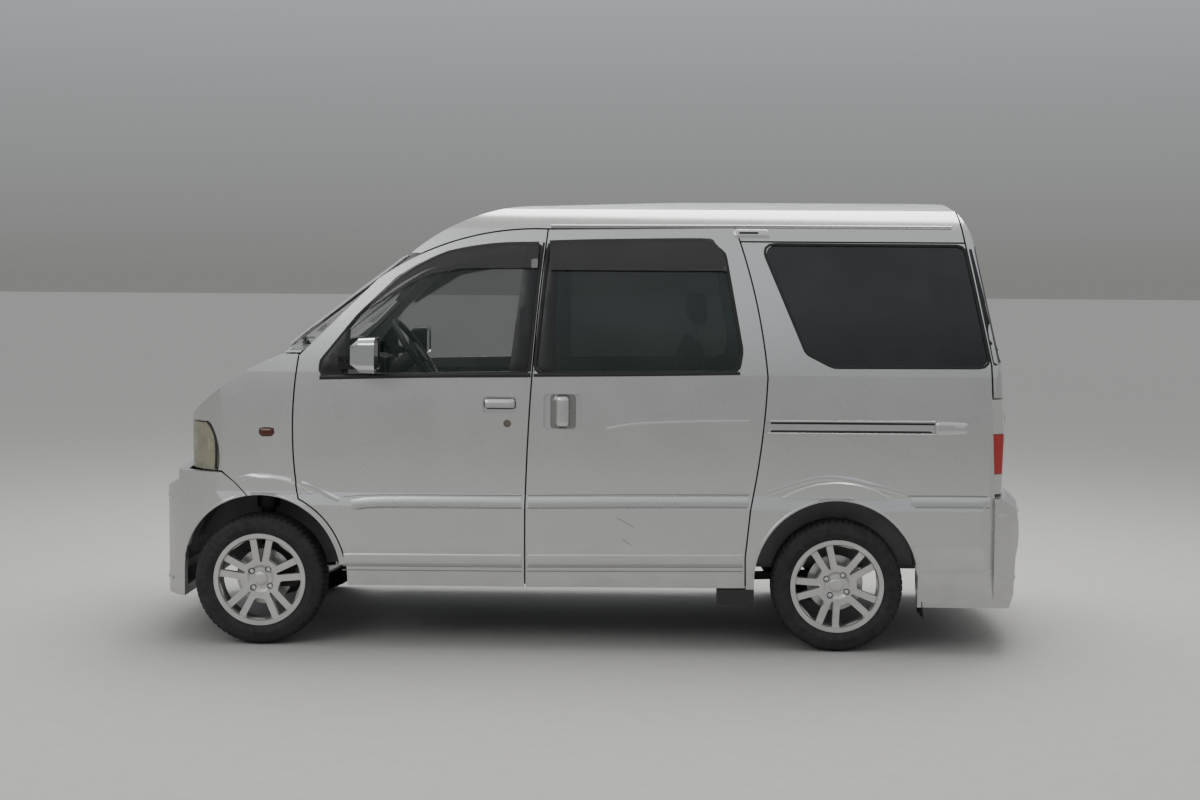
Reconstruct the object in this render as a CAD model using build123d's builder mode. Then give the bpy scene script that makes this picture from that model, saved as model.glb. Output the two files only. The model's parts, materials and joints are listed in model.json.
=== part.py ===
from math import cos, hypot, radians, sin, sqrt
import os

from build123d import *

os.makedirs("parts", exist_ok=True)

# A compact one-box passenger van in millimetres. The front faces -X, the left side -Y, the ground is z = 0.
# Driving dimensions
WHEELBASE = 2430.0
FRONT_OVERHANG = 500.0
REAR_OVERHANG = 835.0
LENGTH = FRONT_OVERHANG + WHEELBASE + REAR_OVERHANG
WIDTH = 1515.0
HEIGHT = 1896.0
TRACK = 1305.0
SKIN = 45.0  # thickness of a door, fender or quarter panel, inner to outer face
GAP = 6.5  # shut line between panels
FIT = 0.4  # clearance of a piece that sits in an opening
PANEL_EDGE = 12.0  # depth of the panel edge that overhangs a door's body
EDGE_STEP = 10.0  # how far the panel edge overhangs
FRAME_GAP = 6.0  # from a door's inner face to the pillar frame
SEAL_FIT = 0.4  # from a door's inner face to the rubber seal on the frame
SEAL_W = 12.0
PANEL_FIT = 0.2  # between a fixed panel and the frame it is welded to
FRAME_DEPTH = 35.0
GLASS_SINK = 7.0  # glass face below the panel face
GLASS_THICK = 5.0

front_x = -LENGTH / 2 + FRONT_OVERHANG
rear_x = front_x + WHEELBASE
half_length = LENGTH / 2
half_width = WIDTH / 2

# Heights of the body side
UNDER_Z = 195.0
SILL_Z = 262.0
BULGE_Z = 450.0
SHOULDER_Z = 600.0
CREASE_Z = 655.0
BELT_Z = 1158.0
DRIP_Z = HEIGHT - 133
ROOF_EDGE_Z = HEIGHT - 50

# Half widths of the body side
UNDER_HALF = half_width - 25
CREASE_HALF = half_width - 10
BELT_HALF = half_width - 20
DRIP_HALF = half_width - 128
ROOF_EDGE_HALF = half_width - 215

# Wheels
TYRE_R = 277.0
TYRE_W = 165.0
RIM_R = 195.0
ARCH_R = 340.0
ARCH_Z = 300.0
FLARE = 28.0  # from the arch opening to the door's edge
SWELL_R = 420.0  # top of the swelling over each arch
SWELL_RISE = 9.0
WHEELHOUSE_GAP = 8.0
WHEELHOUSE_WALL = 8.0
wheel_y = TRACK / 2

# Nose and tail, on the centre line
NOSE_AXIS_X = 5082.5 - half_length  # the nose and screen curve in plan about this upright line
TAIL_AXIS_X = half_length - 2982.5
OVERRUN = 400.0  # the profiles are drawn this far past their axis and trimmed at it
LAMP_LOW_Z = 741.0
LAMP_TOP_Z = 938.0
BONNET_REAR_X = front_x - 18
COWL_Z = 1232.0
HEADER_X = front_x + 592
HEADER_Z = HEIGHT - 231
SCREEN_FOOT_X = front_x + 45
BUMPER_TOP_Z = 650.0
BUMPER_WALL = 40.0
TAILGATE_LOW_Z = 662.0
INTAKE_Z = 330.0
INTAKE_H = 110.0
INTAKE_HALF = 380.0
GRILLE_SLOTS = 3
GRILLE_SLOT_H = 24.0
GRILLE_SLOT_PITCH = 44.0
BONNET_HALF = 600.0
BONNET_WALL = 24.0
GRILLE_HALF = 425.0
SCREEN_HALF = 705.0
LAMP_REAR_X = front_x - 175
TAIL_LAMP_Y = 600.0
TAIL_LAMP_TOP_Z = 1067.0

# Shut lines in side view
A_X = front_x + 152
B_X = front_x + 1120
C_X = rear_x - 304
SEAM_X = rear_x + 621
DOOR_TOP_Z = HEIGHT - 139
QUARTER_TOP_Z = HEIGHT - 181
RAIL_END_X = SEAM_X - 226  # rear end of the sliding door's groove
RAIL_Z = 945.0


# Floor, bulkhead and wheelhouses
FLOOR_Z = 400.0
FLOOR_THICK = 25.0
BULKHEAD_X = front_x + 45
SILL_IN = 600.0
SUPPORT_X = -half_length + 205  # front panel that carries the lamps, the grille and the bonnet's rests
FRONT_HOUSE_Y = 400.0
REAR_HOUSE_Y = 540.0
HOUSE_R = ARCH_R + WHEELHOUSE_GAP
HOUSE_LOW_Z = 345.0
RAIL_Y = 340.0  # chassis rail centre
RAIL_W = 70.0
RAIL_TOP_Z = FLOOR_Z - FLOOR_THICK
RAIL_LOW_Z = 300.0
DOOR_HINGE = (A_X + 26, half_width - 9)
TAILGATE_HINGE = (SEAM_X - 139, HEIGHT - 9)
BONNET_HINGE = (BONNET_REAR_X - 3, COWL_Z - 6)

# Mirrors, seats, steering wheel and engine
MIRROR_X = front_x + 469
MIRROR_Z = 1236.0
SEAT_H = 700.0
FRONT_SEAT_X = front_x + 1010
THIRD_SEAT_X = rear_x + 40
SECOND_SEAT_X = (FRONT_SEAT_X + THIRD_SEAT_X) / 2 - 40
STEER_X = front_x + 530
STEER_Y = 350.0
STEER_Z = 1190.0
STEER_R = 185.0
STEER_TILT = 35.0
ENGINE_X = front_x + 952
ENGINE_LENGTH = 440.0
ENGINE_WIDTH = 420.0
ENGINE_LOW_Z = 205.0
ENGINE_TOP_Z = SEAT_H - 155
COVER_TOP_Z = SEAT_H - 122
KINGPIN_Y = 575.0
SPINDLE_R = 15.0
BALL_PIN_R = 8.0
DISC_R = 118.0
SPINDLE_FIT = 0.06
ARM_LOW_Z = 176.0
ARM_THICK = 26.0
KNUCKLE_TOP_Z = 365.0
STRUT_Y = 525.0


def upper(share):
    """A height in the glasshouse, as a share of the way from the belt line to the roof."""
    return BELT_Z + share * (HEIGHT - BELT_Z)


def arc_centre(a, b, c):
    """Centre of the circle through three points."""
    d = 2 * (a[0] * (b[1] - c[1]) + b[0] * (c[1] - a[1]) + c[0] * (a[1] - b[1]))
    squares = [p[0] ** 2 + p[1] ** 2 for p in (a, b, c)]
    x = (squares[0] * (b[1] - c[1]) + squares[1] * (c[1] - a[1]) + squares[2] * (a[1] - b[1])) / d
    y = (squares[0] * (c[0] - b[0]) + squares[1] * (a[0] - c[0]) + squares[2] * (b[0] - a[0])) / d
    return x, y


def left_normals(piece):
    """Unit vectors to the left of the way at each point of a line (2 points) or arc (3 points)."""
    if len(piece) == 2:
        (ax, ay), (bx, by) = piece
        size = hypot(bx - ax, by - ay)
        return [((ay - by) / size, (bx - ax) / size)] * 2
    a, b, c = piece
    cx, cy = arc_centre(a, b, c)
    turn = (b[0] - a[0]) * (c[1] - b[1]) - (b[1] - a[1]) * (c[0] - b[0])
    side = 1 if turn > 0 else -1
    radius = hypot(a[0] - cx, a[1] - cy)
    return [(side * (cx - x) / radius, side * (cy - y) / radius) for x, y in piece]


def moved_in(path, inset):
    """A closed path of lines and arcs with every piece moved inward, its corners kept sharp."""
    area = sum(piece[0][0] * piece[-1][1] - piece[-1][0] * piece[0][1] for piece in path)
    reach = inset if area > 0 else -inset
    normals = [left_normals(piece) for piece in path]
    corners = []
    for index, piece in enumerate(path):
        (ax, ay), (bx, by) = normals[index - 1][-1], normals[index][0]
        scale = reach / (1 + ax * bx + ay * by)
        corners.append((piece[0][0] + scale * (ax + bx), piece[0][1] + scale * (ay + by)))
    moved = []
    for index, piece in enumerate(path):
        middle = []
        if len(piece) == 3:
            nx, ny = normals[index][1]
            middle = [(piece[1][0] + reach * nx, piece[1][1] + reach * ny)]
        moved.append([corners[index], *middle, corners[(index + 1) % len(path)]])
    return moved


def draw(path):
    """Draws a path inside a line builder."""
    for piece in path:
        if len(piece) == 2:
            Line(*piece)
        else:
            ThreePointArc(*piece)


def closed(*points):
    """Closes a path from points, where a point in a list is the middle of an arc."""
    path = []
    ends = [p for p in points if isinstance(p, tuple)]
    start = points[0]
    middle = []
    for point in points[1:] + (ends[0],):
        if isinstance(point, list):
            middle = point
        else:
            path.append([start, *middle, point])
            start = point
            middle = []
    return path


# Side views of the nose, screen and front of the roof, and of the tail up to the roof
NOSE = closed(
    (NOSE_AXIS_X + OVERRUN, 100),
    (-half_length + 142, 100),
    (-half_length + 108, LAMP_LOW_Z),
    (-half_length + 140, LAMP_TOP_Z + 12),
    [(-half_length + 282, 1085)],
    (SCREEN_FOOT_X, COWL_Z),
    (HEADER_X, HEADER_Z),
    [(front_x + 870, HEIGHT - 78)],
    (front_x + 1166, HEIGHT - 33),
    (front_x + 1770, HEIGHT - 7),
    (front_x + 2600, HEIGHT + 5),
    (NOSE_AXIS_X, HEIGHT + 20),
    (NOSE_AXIS_X + OVERRUN, HEIGHT + 200),
)
TAIL = closed(
    (TAIL_AXIS_X - OVERRUN, 100),
    (half_length - 90, 100),
    (half_length - 67, 900),
    (half_length - 83, BELT_Z + 12),
    (half_length - 207, HEIGHT - 208),
    [(half_length - 252, HEIGHT - 96)],
    (half_length - 350, HEIGHT - 10),
    (half_length - 700, HEIGHT + 10),
    (TAIL_AXIS_X - OVERRUN, HEIGHT + 200),
)
BUMPER_NOSE = closed(
    (NOSE_AXIS_X + OVERRUN, 100),
    (-half_length + 70, 100),
    (-half_length + 22, UNDER_Z + 15),
    (-half_length + 2, 300),
    [(-half_length, 440)],
    (-half_length + 4, 590),
    (-half_length + 30, BUMPER_TOP_Z),
    (-half_length + 100, 690),
    (-half_length + 104, HEIGHT),
    (NOSE_AXIS_X + OVERRUN, HEIGHT),
)
BUMPER_TAIL = closed(
    (TAIL_AXIS_X - OVERRUN, 100),
    (half_length - 60, 100),
    (half_length - 16, UNDER_Z + 50),
    (half_length - 10, 400),
    [(half_length, 520)],
    (half_length - 12, 610),
    (half_length - 60, BUMPER_TOP_Z + 2),
    (half_length - 62, HEIGHT),
    (TAIL_AXIS_X - OVERRUN, HEIGHT),
)
SECTION = closed(
    (-WIDTH, UNDER_Z),
    (UNDER_HALF, UNDER_Z),
    (half_width, BULGE_Z),
    (half_width, SHOULDER_Z),
    (CREASE_HALF, CREASE_Z),
    [(CREASE_HALF + 1, 900)],
    (BELT_HALF, BELT_Z),
    [(half_width - 62, upper(0.409))],
    (DRIP_HALF, DRIP_Z),
    [(half_width - 158, HEIGHT - 86)],
    (ROOF_EDGE_HALF, ROOF_EDGE_Z),
    [(280, HEIGHT - 14)],
    (0, HEIGHT),
    (-WIDTH, HEIGHT),
)
BODY_PLAN = closed(
    (-half_length + 128, 300),
    [(-half_length + 119, -200)],
    (-half_length + 182, -560),
    [(front_x - 205, -712)],
    (front_x + 110, -half_width - 1),
    (rear_x + 520, -half_width - 1),
    [(rear_x + 690, -700)],
    (half_length - 96, -590),
    (LENGTH, -300),
    (LENGTH, WIDTH),
)
BUMPER_PLAN = closed(
    (-LENGTH, 300),
    (-half_length + 20, 300),
    [(-half_length + 9, -200)],
    (-half_length + 76, -560),
    [(front_x - 262, -712)],
    (front_x + 20, -half_width - 1),
    (rear_x + 560, -half_width - 1),
    [(rear_x + 748, -690)],
    (half_length - 22, -570),
    (LENGTH, -300),
    (LENGTH, WIDTH),
)
SECTION_PLANE = Plane(origin=(half_length + 50, 0, 0), x_dir=(0, -1, 0), z_dir=(-1, 0, 0))


def room_beyond(profile, axis_x, side, inset):
    """The left half of the space outside a side profile that is turned about an upright axis."""
    with BuildPart() as room:
        with BuildSketch(Plane.XZ):
            with Locations((axis_x + side * (LENGTH + OVERRUN), HEIGHT / 2)):
                Rectangle(2 * LENGTH, 2 * HEIGHT)
            with BuildLine():
                draw(moved_in(profile, inset))
            make_face(mode=Mode.SUBTRACT)
        revolve(axis=Axis((axis_x, 0, 0), (0, 0, -side)), revolution_arc=80)
    return room.part.rotate(Axis((axis_x, 0, 0), (0, 0, side)), 5)


def side_form(inset):
    """The left half of the body side's section, moved inward and run past both ends of the van."""
    with BuildPart() as form:
        with BuildSketch(SECTION_PLANE):
            with BuildLine():
                draw(moved_in(SECTION, inset))
            make_face()
            with Locations((WIDTH / 2, HEIGHT / 2)):
                Rectangle(WIDTH, 2 * HEIGHT, mode=Mode.INTERSECT)
        extrude(amount=LENGTH + 100)
    return form.part


def envelope(inset, nose=NOSE, tail=TAIL, plan=BODY_PLAN):
    """The left half of the van's outer form as a solid, with every face moved inward by the inset."""
    with BuildPart() as plan_limit:
        with BuildSketch():
            with BuildLine():
                draw(moved_in(plan, inset))
            make_face()
        extrude(amount=2 * HEIGHT)
    with BuildPart() as form:
        add(side_form(inset))
        for profile, axis_x, side in ((nose, NOSE_AXIS_X, -1), (tail, TAIL_AXIS_X, 1)):
            add(room_beyond(profile, axis_x, side, inset), mode=Mode.SUBTRACT)
        add(plan_limit.part, mode=Mode.INTERSECT)
    return form.part


# Outlines in side view, drawn in the XZ plane
arch_front_x = front_x + 8
arch_rear_x = rear_x - 8
door_arc_r = ARCH_R + FLARE


def on_arc(centre_x, radius, x):
    return ARCH_Z + sqrt(radius**2 - (x - centre_x) ** 2)


def front_door_line():
    low = (A_X + 23, on_arc(arch_front_x, door_arc_r, A_X + 23))
    foot = (A_X + 25, COWL_Z - 5)
    bend = (front_x + 503, upper(0.531))
    top = (B_X + 85, DOOR_TOP_Z)
    waist = (B_X, SHOULDER_Z)
    ThreePointArc(low, (A_X, 950), foot)
    Line(foot, bend)
    ThreePointArc(bend, (front_x + 822, HEIGHT - 190), top)
    ThreePointArc(top, (B_X + 28, 1173), waist)
    Polyline(waist, (B_X, SILL_Z), (arch_front_x + door_arc_r, SILL_Z), (arch_front_x + door_arc_r, ARCH_Z))
    ThreePointArc(
        (arch_front_x + door_arc_r, ARCH_Z),
        (arch_front_x + door_arc_r * cos(radians(35)), ARCH_Z + door_arc_r * sin(radians(35))),
        low,
    )


def sliding_door_line():
    top = (B_X + 85 + GAP, DOOR_TOP_Z)
    waist = (B_X + GAP, SHOULDER_Z)
    ThreePointArc(waist, (B_X + 28 + GAP, 1173), top)
    Line(top, (C_X - 137, DOOR_TOP_Z + 10))
    ThreePointArc((C_X - 137, DOOR_TOP_Z + 10), (C_X - 53, upper(0.436)), (C_X, BELT_Z - 8))
    ThreePointArc((C_X, BELT_Z - 8), (C_X - 16, 930), (C_X - 66, SHOULDER_Z))
    Polyline((C_X - 66, SHOULDER_Z), (C_X - 86, 400), (C_X - 84, SILL_Z + 6), (B_X + GAP, SILL_Z), waist)


def front_window_line():
    FilletPolyline(
        (front_x + 266, BELT_Z - 10),
        (front_x + 272, upper(0.061)),
        (front_x + 424, upper(0.316)),
        (front_x + 590, upper(0.535)),
        (front_x + 795, upper(0.676)),
        (front_x + 983, upper(0.719)),
        (B_X + 60, upper(0.726)),
        (B_X + 12, BELT_Z + 9),
        radius=22,
        close=True,
    )


def sliding_window_line():
    FilletPolyline(
        (B_X + 46, BELT_Z + 8),
        (B_X + 98, upper(0.734)),
        (C_X - 260, upper(0.751)),
        (C_X - 185, upper(0.68)),
        (C_X - 112, upper(0.137)),
        (C_X - 124, BELT_Z + 20),
        radius=30,
        close=True,
    )


def quarter_window_line():
    FilletPolyline(
        (C_X - 22, upper(0.73)),
        (SEAM_X - 112, upper(0.728)),
        (SEAM_X - 10, BELT_Z + 44),
        (C_X + 275, BELT_Z + 40),
        (C_X + 165, BELT_Z + 95),
        radius=34,
        close=True,
    )


# The line where the tailgate, lamp and bumper meet the quarter panel, closed off behind the van
SEAM = closed(
    (SEAM_X - 155, HEIGHT + 60),
    (SEAM_X - 141, HEIGHT - 29),
    (SEAM_X - 106, HEIGHT - 198),
    (SEAM_X - 4, BELT_Z + 47),
    (SEAM_X + 22, LAMP_LOW_Z - 72),
    (SEAM_X + 26, 100),
    (LENGTH, 100),
    (LENGTH, HEIGHT + 60),
)
# A strip behind that line, taken off the tailgate to open its shut line
SEAM_BAND = closed(
    (SEAM_X - 165, HEIGHT + 60),
    (SEAM_X - 151, HEIGHT - 29),
    (SEAM_X - 116, HEIGHT - 198),
    (SEAM_X - 14, BELT_Z + 47),
    (SEAM_X + 12, LAMP_LOW_Z - 72),
    (SEAM_X + 28 + GAP / 2, LAMP_LOW_Z - 72),
    (SEAM_X - 4 + GAP, BELT_Z + 47),
    (SEAM_X - 106 + GAP, HEIGHT - 198),
    (SEAM_X - 141 + GAP, HEIGHT - 29),
    (SEAM_X - 155 + GAP, HEIGHT + 60),
)
HEADLAMP_SIDE = closed(
    (-LENGTH, LAMP_LOW_Z),
    (LAMP_REAR_X, LAMP_LOW_Z),
    [(LAMP_REAR_X + 5, 830)],
    (LAMP_REAR_X - 52, LAMP_TOP_Z),
    (-LENGTH, LAMP_TOP_Z),
)
# What stands ahead of and below the fender: the bumper's top edge and the room it takes
FRONT_BUMPER_SIDE = closed(
    (-LENGTH, 100),
    (arch_front_x - ARCH_R + 4, 100),
    (arch_front_x - ARCH_R + 4, 400),
    (arch_front_x - 50, 630),
    (arch_front_x - 105, 690),
    (arch_front_x - 160, LAMP_LOW_Z - GAP),
    (-LENGTH, LAMP_LOW_Z - GAP),
)
FENDER_OFF = closed(
    (-LENGTH, 90),
    (arch_front_x - ARCH_R + 4 + GAP, 90),
    (arch_front_x - ARCH_R + 4 + GAP, 400),
    (arch_front_x - 50 + GAP, 630),
    (arch_front_x - 105 + GAP, 690),
    (arch_front_x - 157, LAMP_LOW_Z),
    (-LENGTH, LAMP_LOW_Z),
)


def prism(line, grow=0.0, near=300.0, far=WIDTH):
    """A side view outline as a solid, on the left of the van by default."""
    with BuildPart() as solid:
        with BuildSketch(Plane.XZ.offset(near)):
            with BuildLine():
                line()
            make_face()
            if grow:
                offset(amount=grow, kind=Kind.ARC)
        extrude(amount=far - near)
    return solid.part


def box_between(low, high):
    """A box from its lowest to its highest corner."""
    size = [b - a for a, b in zip(low, high)]
    middle = [(a + b) / 2 for a, b in zip(low, high)]
    with BuildPart() as block:
        with Locations(tuple(middle)):
            Box(*size)
    return block.part


def arch_cylinder(x, radius, inner_y, outer_y=WIDTH):
    with BuildPart() as hole:
        with BuildSketch(Plane.XZ.offset(inner_y)):
            with Locations((x, ARCH_Z)):
                Circle(radius)
            with Locations((x, ARCH_Z - HEIGHT / 2)):
                Rectangle(2 * radius, HEIGHT)
        extrude(amount=outer_y - inner_y)
    return hole.part


def arch_swelling(x, limit):
    """The crescent over a wheel arch where the body side swells out, inside a limit, on the left."""
    with BuildPart() as crescent:
        with BuildSketch(Plane.XZ.offset(half_width - 30)):
            with Locations((x, ARCH_Z)):
                Circle(SWELL_R + 24)
        extrude(amount=60, taper=45)
        add(arch_cylinder(x, ARCH_R, 300), mode=Mode.SUBTRACT)
        add(box_between((-LENGTH, -WIDTH, 0), (LENGTH, 0, CREASE_Z - 4)), mode=Mode.SUBTRACT)
        add(limit, mode=Mode.INTERSECT)
        add(swelling.part, mode=Mode.INTERSECT)
    return crescent.part


def side_pocket(x, z, width, height, corner, floor_form):
    """The room of a rounded pocket pressed into the body side down to a form, on the left."""
    with BuildPart() as room:
        with BuildSketch(Plane.XZ.offset(300)):
            with Locations((x, z)):
                RectangleRounded(width, height, corner)
        extrude(amount=WIDTH - 300)
        add(floor_form, mode=Mode.SUBTRACT)
    return room.part


def rear_window(shrink):
    """The rear window's outline seen from behind, as a solid on the left half."""
    with BuildPart() as solid:
        with BuildSketch(Plane.YZ):
            with BuildLine():
                FilletPolyline(
                    (WIDTH, upper(0.087)),
                    (-640, upper(0.087)),
                    (-590, HEIGHT - 206),
                    (WIDTH, HEIGHT - 206),
                    radius=45,
                    close=True,
                )
            make_face()
            if shrink:
                offset(amount=-shrink, kind=Kind.ARC)
            with Locations((-WIDTH / 2, HEIGHT / 2)):
                Rectangle(WIDTH, HEIGHT, mode=Mode.INTERSECT)
        extrude(amount=LENGTH)
    return solid.part


def screen_block(shrink):
    """The windscreen's outline seen from the front, as a solid on the left half."""
    with BuildPart() as solid:
        with BuildSketch(Plane.YZ):
            with BuildLine():
                FilletPolyline(
                    (WIDTH, COWL_Z + 16),
                    (-760, COWL_Z + 16),
                    (-690, HEADER_Z - 8),
                    (WIDTH, HEADER_Z - 8),
                    radius=10,
                    close=True,
                )
            make_face()
            if shrink:
                offset(amount=-shrink, kind=Kind.ARC)
            with Locations((-WIDTH / 2, HEIGHT / 2)):
                Rectangle(WIDTH, HEIGHT, mode=Mode.INTERSECT)
        extrude(amount=-LENGTH)
    return solid.part


def front_of(block):
    """The part of a block that lies ahead of the windscreen's top rail."""
    with BuildPart() as solid:
        add(block)
        add(box_between((HEADER_X + 120, -WIDTH, 0), (LENGTH, 1, HEIGHT)), mode=Mode.SUBTRACT)
    return solid.part


def bonnet_block(grow):
    """The bonnet's outline seen from above, as a solid on the left half."""
    low = (-LENGTH, -BONNET_HALF - grow, LAMP_TOP_Z + GAP - grow)
    return box_between(low, (BONNET_REAR_X + grow, 1, HEIGHT))


def house_block(x, radius, inner_y):
    """A wheelhouse as a solid: a half cylinder over the wheel, straight down to the floor's underside."""
    with BuildPart() as house:
        with BuildSketch(Plane.XZ.offset(inner_y)):
            with Locations((x, ARCH_Z)):
                Circle(radius)
            with Locations((x, HOUSE_LOW_Z - HEIGHT / 2)):
                Rectangle(3 * radius, HEIGHT, mode=Mode.SUBTRACT)
        extrude(amount=WIDTH / 2 - inner_y)
    return house.part


def seat(x, y, half, base_half, rests):
    """A seat: x is the cushion's rear end, and rests are the places of its head rests across the seat."""
    with BuildPart() as one:
        with BuildSketch(Plane.XZ.offset(-y - half)):
            with BuildLine():
                FilletPolyline(
                    (x - 470, SEAT_H - 118),
                    (x - 482, SEAT_H - 12),
                    (x - 400, SEAT_H + 8),
                    (x - 70, SEAT_H - 22),
                    (x + 92, SEAT_H + 618),
                    (x + 176, SEAT_H + 618),
                    (x + 186, SEAT_H + 540),
                    (x + 30, SEAT_H - 118),
                    radius=26,
                    close=True,
                )
            make_face()
        extrude(amount=2 * half)
        with Locations((x - 190, y, (FLOOR_Z + SEAT_H - 117 + PANEL_FIT) / 2)):
            Box(220, 2 * base_half, SEAT_H - 117 - FLOOR_Z - PANEL_FIT)
        for rest_y in rests:
            with Locations((x + 138, y + rest_y, SEAT_H + 640)):
                Box(14, 120, 90)
            with BuildSketch(Plane.XZ.offset(-y - rest_y - 125)):
                with Locations((x + 148, SEAT_H + 725)):
                    RectangleRounded(84, 150, 30)
            extrude(amount=250)
    return one.part


def write(node, name):
    node.part.label = name
    export_step(node.part, f"parts/{name}.step")


def write_pair(left, name):
    """Writes a left piece and its mirror image on the right as one node."""
    with BuildPart() as both:
        add(left.part)
        mirror(left.part, about=Plane.XZ)
    write(both, name)


def write_whole(left, name):
    """Writes the left half of a piece joined to its mirror image as one node."""
    with BuildPart() as whole:
        add(left.part)
        mirror(left.part, about=Plane.XZ)
    write(whole, name)


def write_sides(left, name):
    """Writes a left piece and its mirror image as two nodes."""
    write(left, f"{name}_left")
    with BuildPart() as right:
        mirror(left.part, about=Plane.XZ)
    write(right, f"{name}_right")


outer = envelope(0)
skin_inner = envelope(SKIN)
frame_outer = envelope(SKIN + FRAME_GAP)
frame_inner = envelope(SKIN + FRAME_GAP + FRAME_DEPTH)
glass_outer = envelope(GLASS_SINK)
glass_inner = envelope(GLASS_SINK + GLASS_THICK)
bumper_outer = envelope(0, BUMPER_NOSE, BUMPER_TAIL, BUMPER_PLAN)
bumper_inner = envelope(BUMPER_WALL, BUMPER_NOSE, BUMPER_TAIL, BUMPER_PLAN)
with BuildPart() as skin:
    add(outer)
    add(skin_inner, mode=Mode.SUBTRACT)
with BuildPart() as glass_layer:
    add(glass_outer)
    add(glass_inner, mode=Mode.SUBTRACT)

skin_middle = envelope(PANEL_EDGE)
with BuildPart() as panel_edge:
    add(outer)
    add(skin_middle, mode=Mode.SUBTRACT)
with BuildPart() as panel_body:
    add(skin_middle)
    add(skin_inner, mode=Mode.SUBTRACT)

with BuildPart() as fixed_skin:
    add(outer)
    add(envelope(SKIN + FRAME_GAP - PANEL_FIT), mode=Mode.SUBTRACT)
with BuildPart() as swelling:
    add(envelope(-SWELL_RISE))
    add(skin_middle, mode=Mode.SUBTRACT)
with BuildPart() as seal_layer:
    add(envelope(SKIN + SEAL_FIT))
    add(frame_outer, mode=Mode.SUBTRACT)

seam_prism = prism(lambda: draw(SEAM), near=-10.0)
door_prism = prism(front_door_line)
door_hole = prism(front_door_line, GAP)
with BuildPart() as door_room:
    add(door_hole)
    add(side_form(SKIN + FRAME_GAP), mode=Mode.SUBTRACT)
slider_hole = prism(sliding_door_line, GAP)

# Front doors
with BuildPart() as front_door_body:
    add(panel_body.part)
    add(prism(front_door_line, -EDGE_STEP), mode=Mode.INTERSECT)
with BuildPart() as front_door:
    add(panel_edge.part)
    add(door_prism, mode=Mode.INTERSECT)
    add(front_door_body.part)
    add(arch_swelling(arch_front_x, door_prism))
    add(side_pocket(B_X - 104, BELT_Z - 131, 141, 69, 16, skin_middle), mode=Mode.SUBTRACT)
    add(prism(front_window_line), mode=Mode.SUBTRACT)
with BuildPart() as front_door_grip:
    add(side_pocket(B_X - 104, BELT_Z - 124, 124, 38, 10, skin_middle))
    add(outer, mode=Mode.INTERSECT)
with BuildPart() as gripped_door:
    add(front_door.part)
    add(front_door_grip.part)
    add(side_form(SKIN), mode=Mode.SUBTRACT)
write_sides(gripped_door, "front_door")
with BuildPart() as front_door_glass:
    add(glass_layer.part)
    add(prism(front_window_line, -FIT), mode=Mode.INTERSECT)
write_sides(front_door_glass, "front_door_glass")

# Sliding doors, shut
with BuildPart() as sliding_door:
    add(fixed_skin.part)
    add(prism(sliding_door_line), mode=Mode.INTERSECT)
    add(prism(sliding_window_line), mode=Mode.SUBTRACT)
    add(side_pocket(B_X + 158, BELT_Z - 157, 158, 148, 18, skin_middle), mode=Mode.SUBTRACT)
with BuildPart() as sliding_door_grip:
    add(side_pocket(B_X + 158, BELT_Z - 156, 50, 124, 10, skin_middle))
    add(outer, mode=Mode.INTERSECT)
with BuildPart() as gripped_slider:
    add(sliding_door.part)
    add(sliding_door_grip.part)
write_pair(gripped_slider, "sliding_doors")
with BuildPart() as side_glass:
    add(glass_layer.part)
    add(prism(sliding_window_line, -FIT), mode=Mode.INTERSECT)
write_pair(side_glass, "sliding_door_glass")

# Quarter panels
rail_middle = (C_X + RAIL_END_X) / 2
rail_length = RAIL_END_X - C_X
quarter_block = box_between((C_X - 200, -WIDTH, UNDER_Z), (LENGTH, -300, QUARTER_TOP_Z - GAP))
with BuildPart() as quarter:
    add(fixed_skin.part)
    add(quarter_block, mode=Mode.INTERSECT)
    add(slider_hole, mode=Mode.SUBTRACT)
    add(seam_prism, mode=Mode.SUBTRACT)
    add(arch_cylinder(arch_rear_x, ARCH_R, 300), mode=Mode.SUBTRACT)
    add(box_between((0, -half_width + 75, 0), (LENGTH, 0, SILL_Z)), mode=Mode.SUBTRACT)
    add(prism(quarter_window_line), mode=Mode.SUBTRACT)
    add(arch_swelling(arch_rear_x, quarter_block))
    add(side_pocket(rail_middle - 20, RAIL_Z, rail_length + 40, 44, 4, skin_middle), mode=Mode.SUBTRACT)
with BuildPart() as slide_rail:
    add(side_pocket(rail_middle, RAIL_Z - 12, rail_length - 10, 16, 3, skin_middle))
    add(glass_outer, mode=Mode.INTERSECT)
with BuildPart() as railed_quarter:
    add(quarter.part)
    add(slide_rail.part)
write_pair(railed_quarter, "quarter_panels")
with BuildPart() as quarter_glass:
    add(glass_layer.part)
    add(prism(quarter_window_line, -FIT), mode=Mode.INTERSECT)
write_pair(quarter_glass, "quarter_glass")

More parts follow.
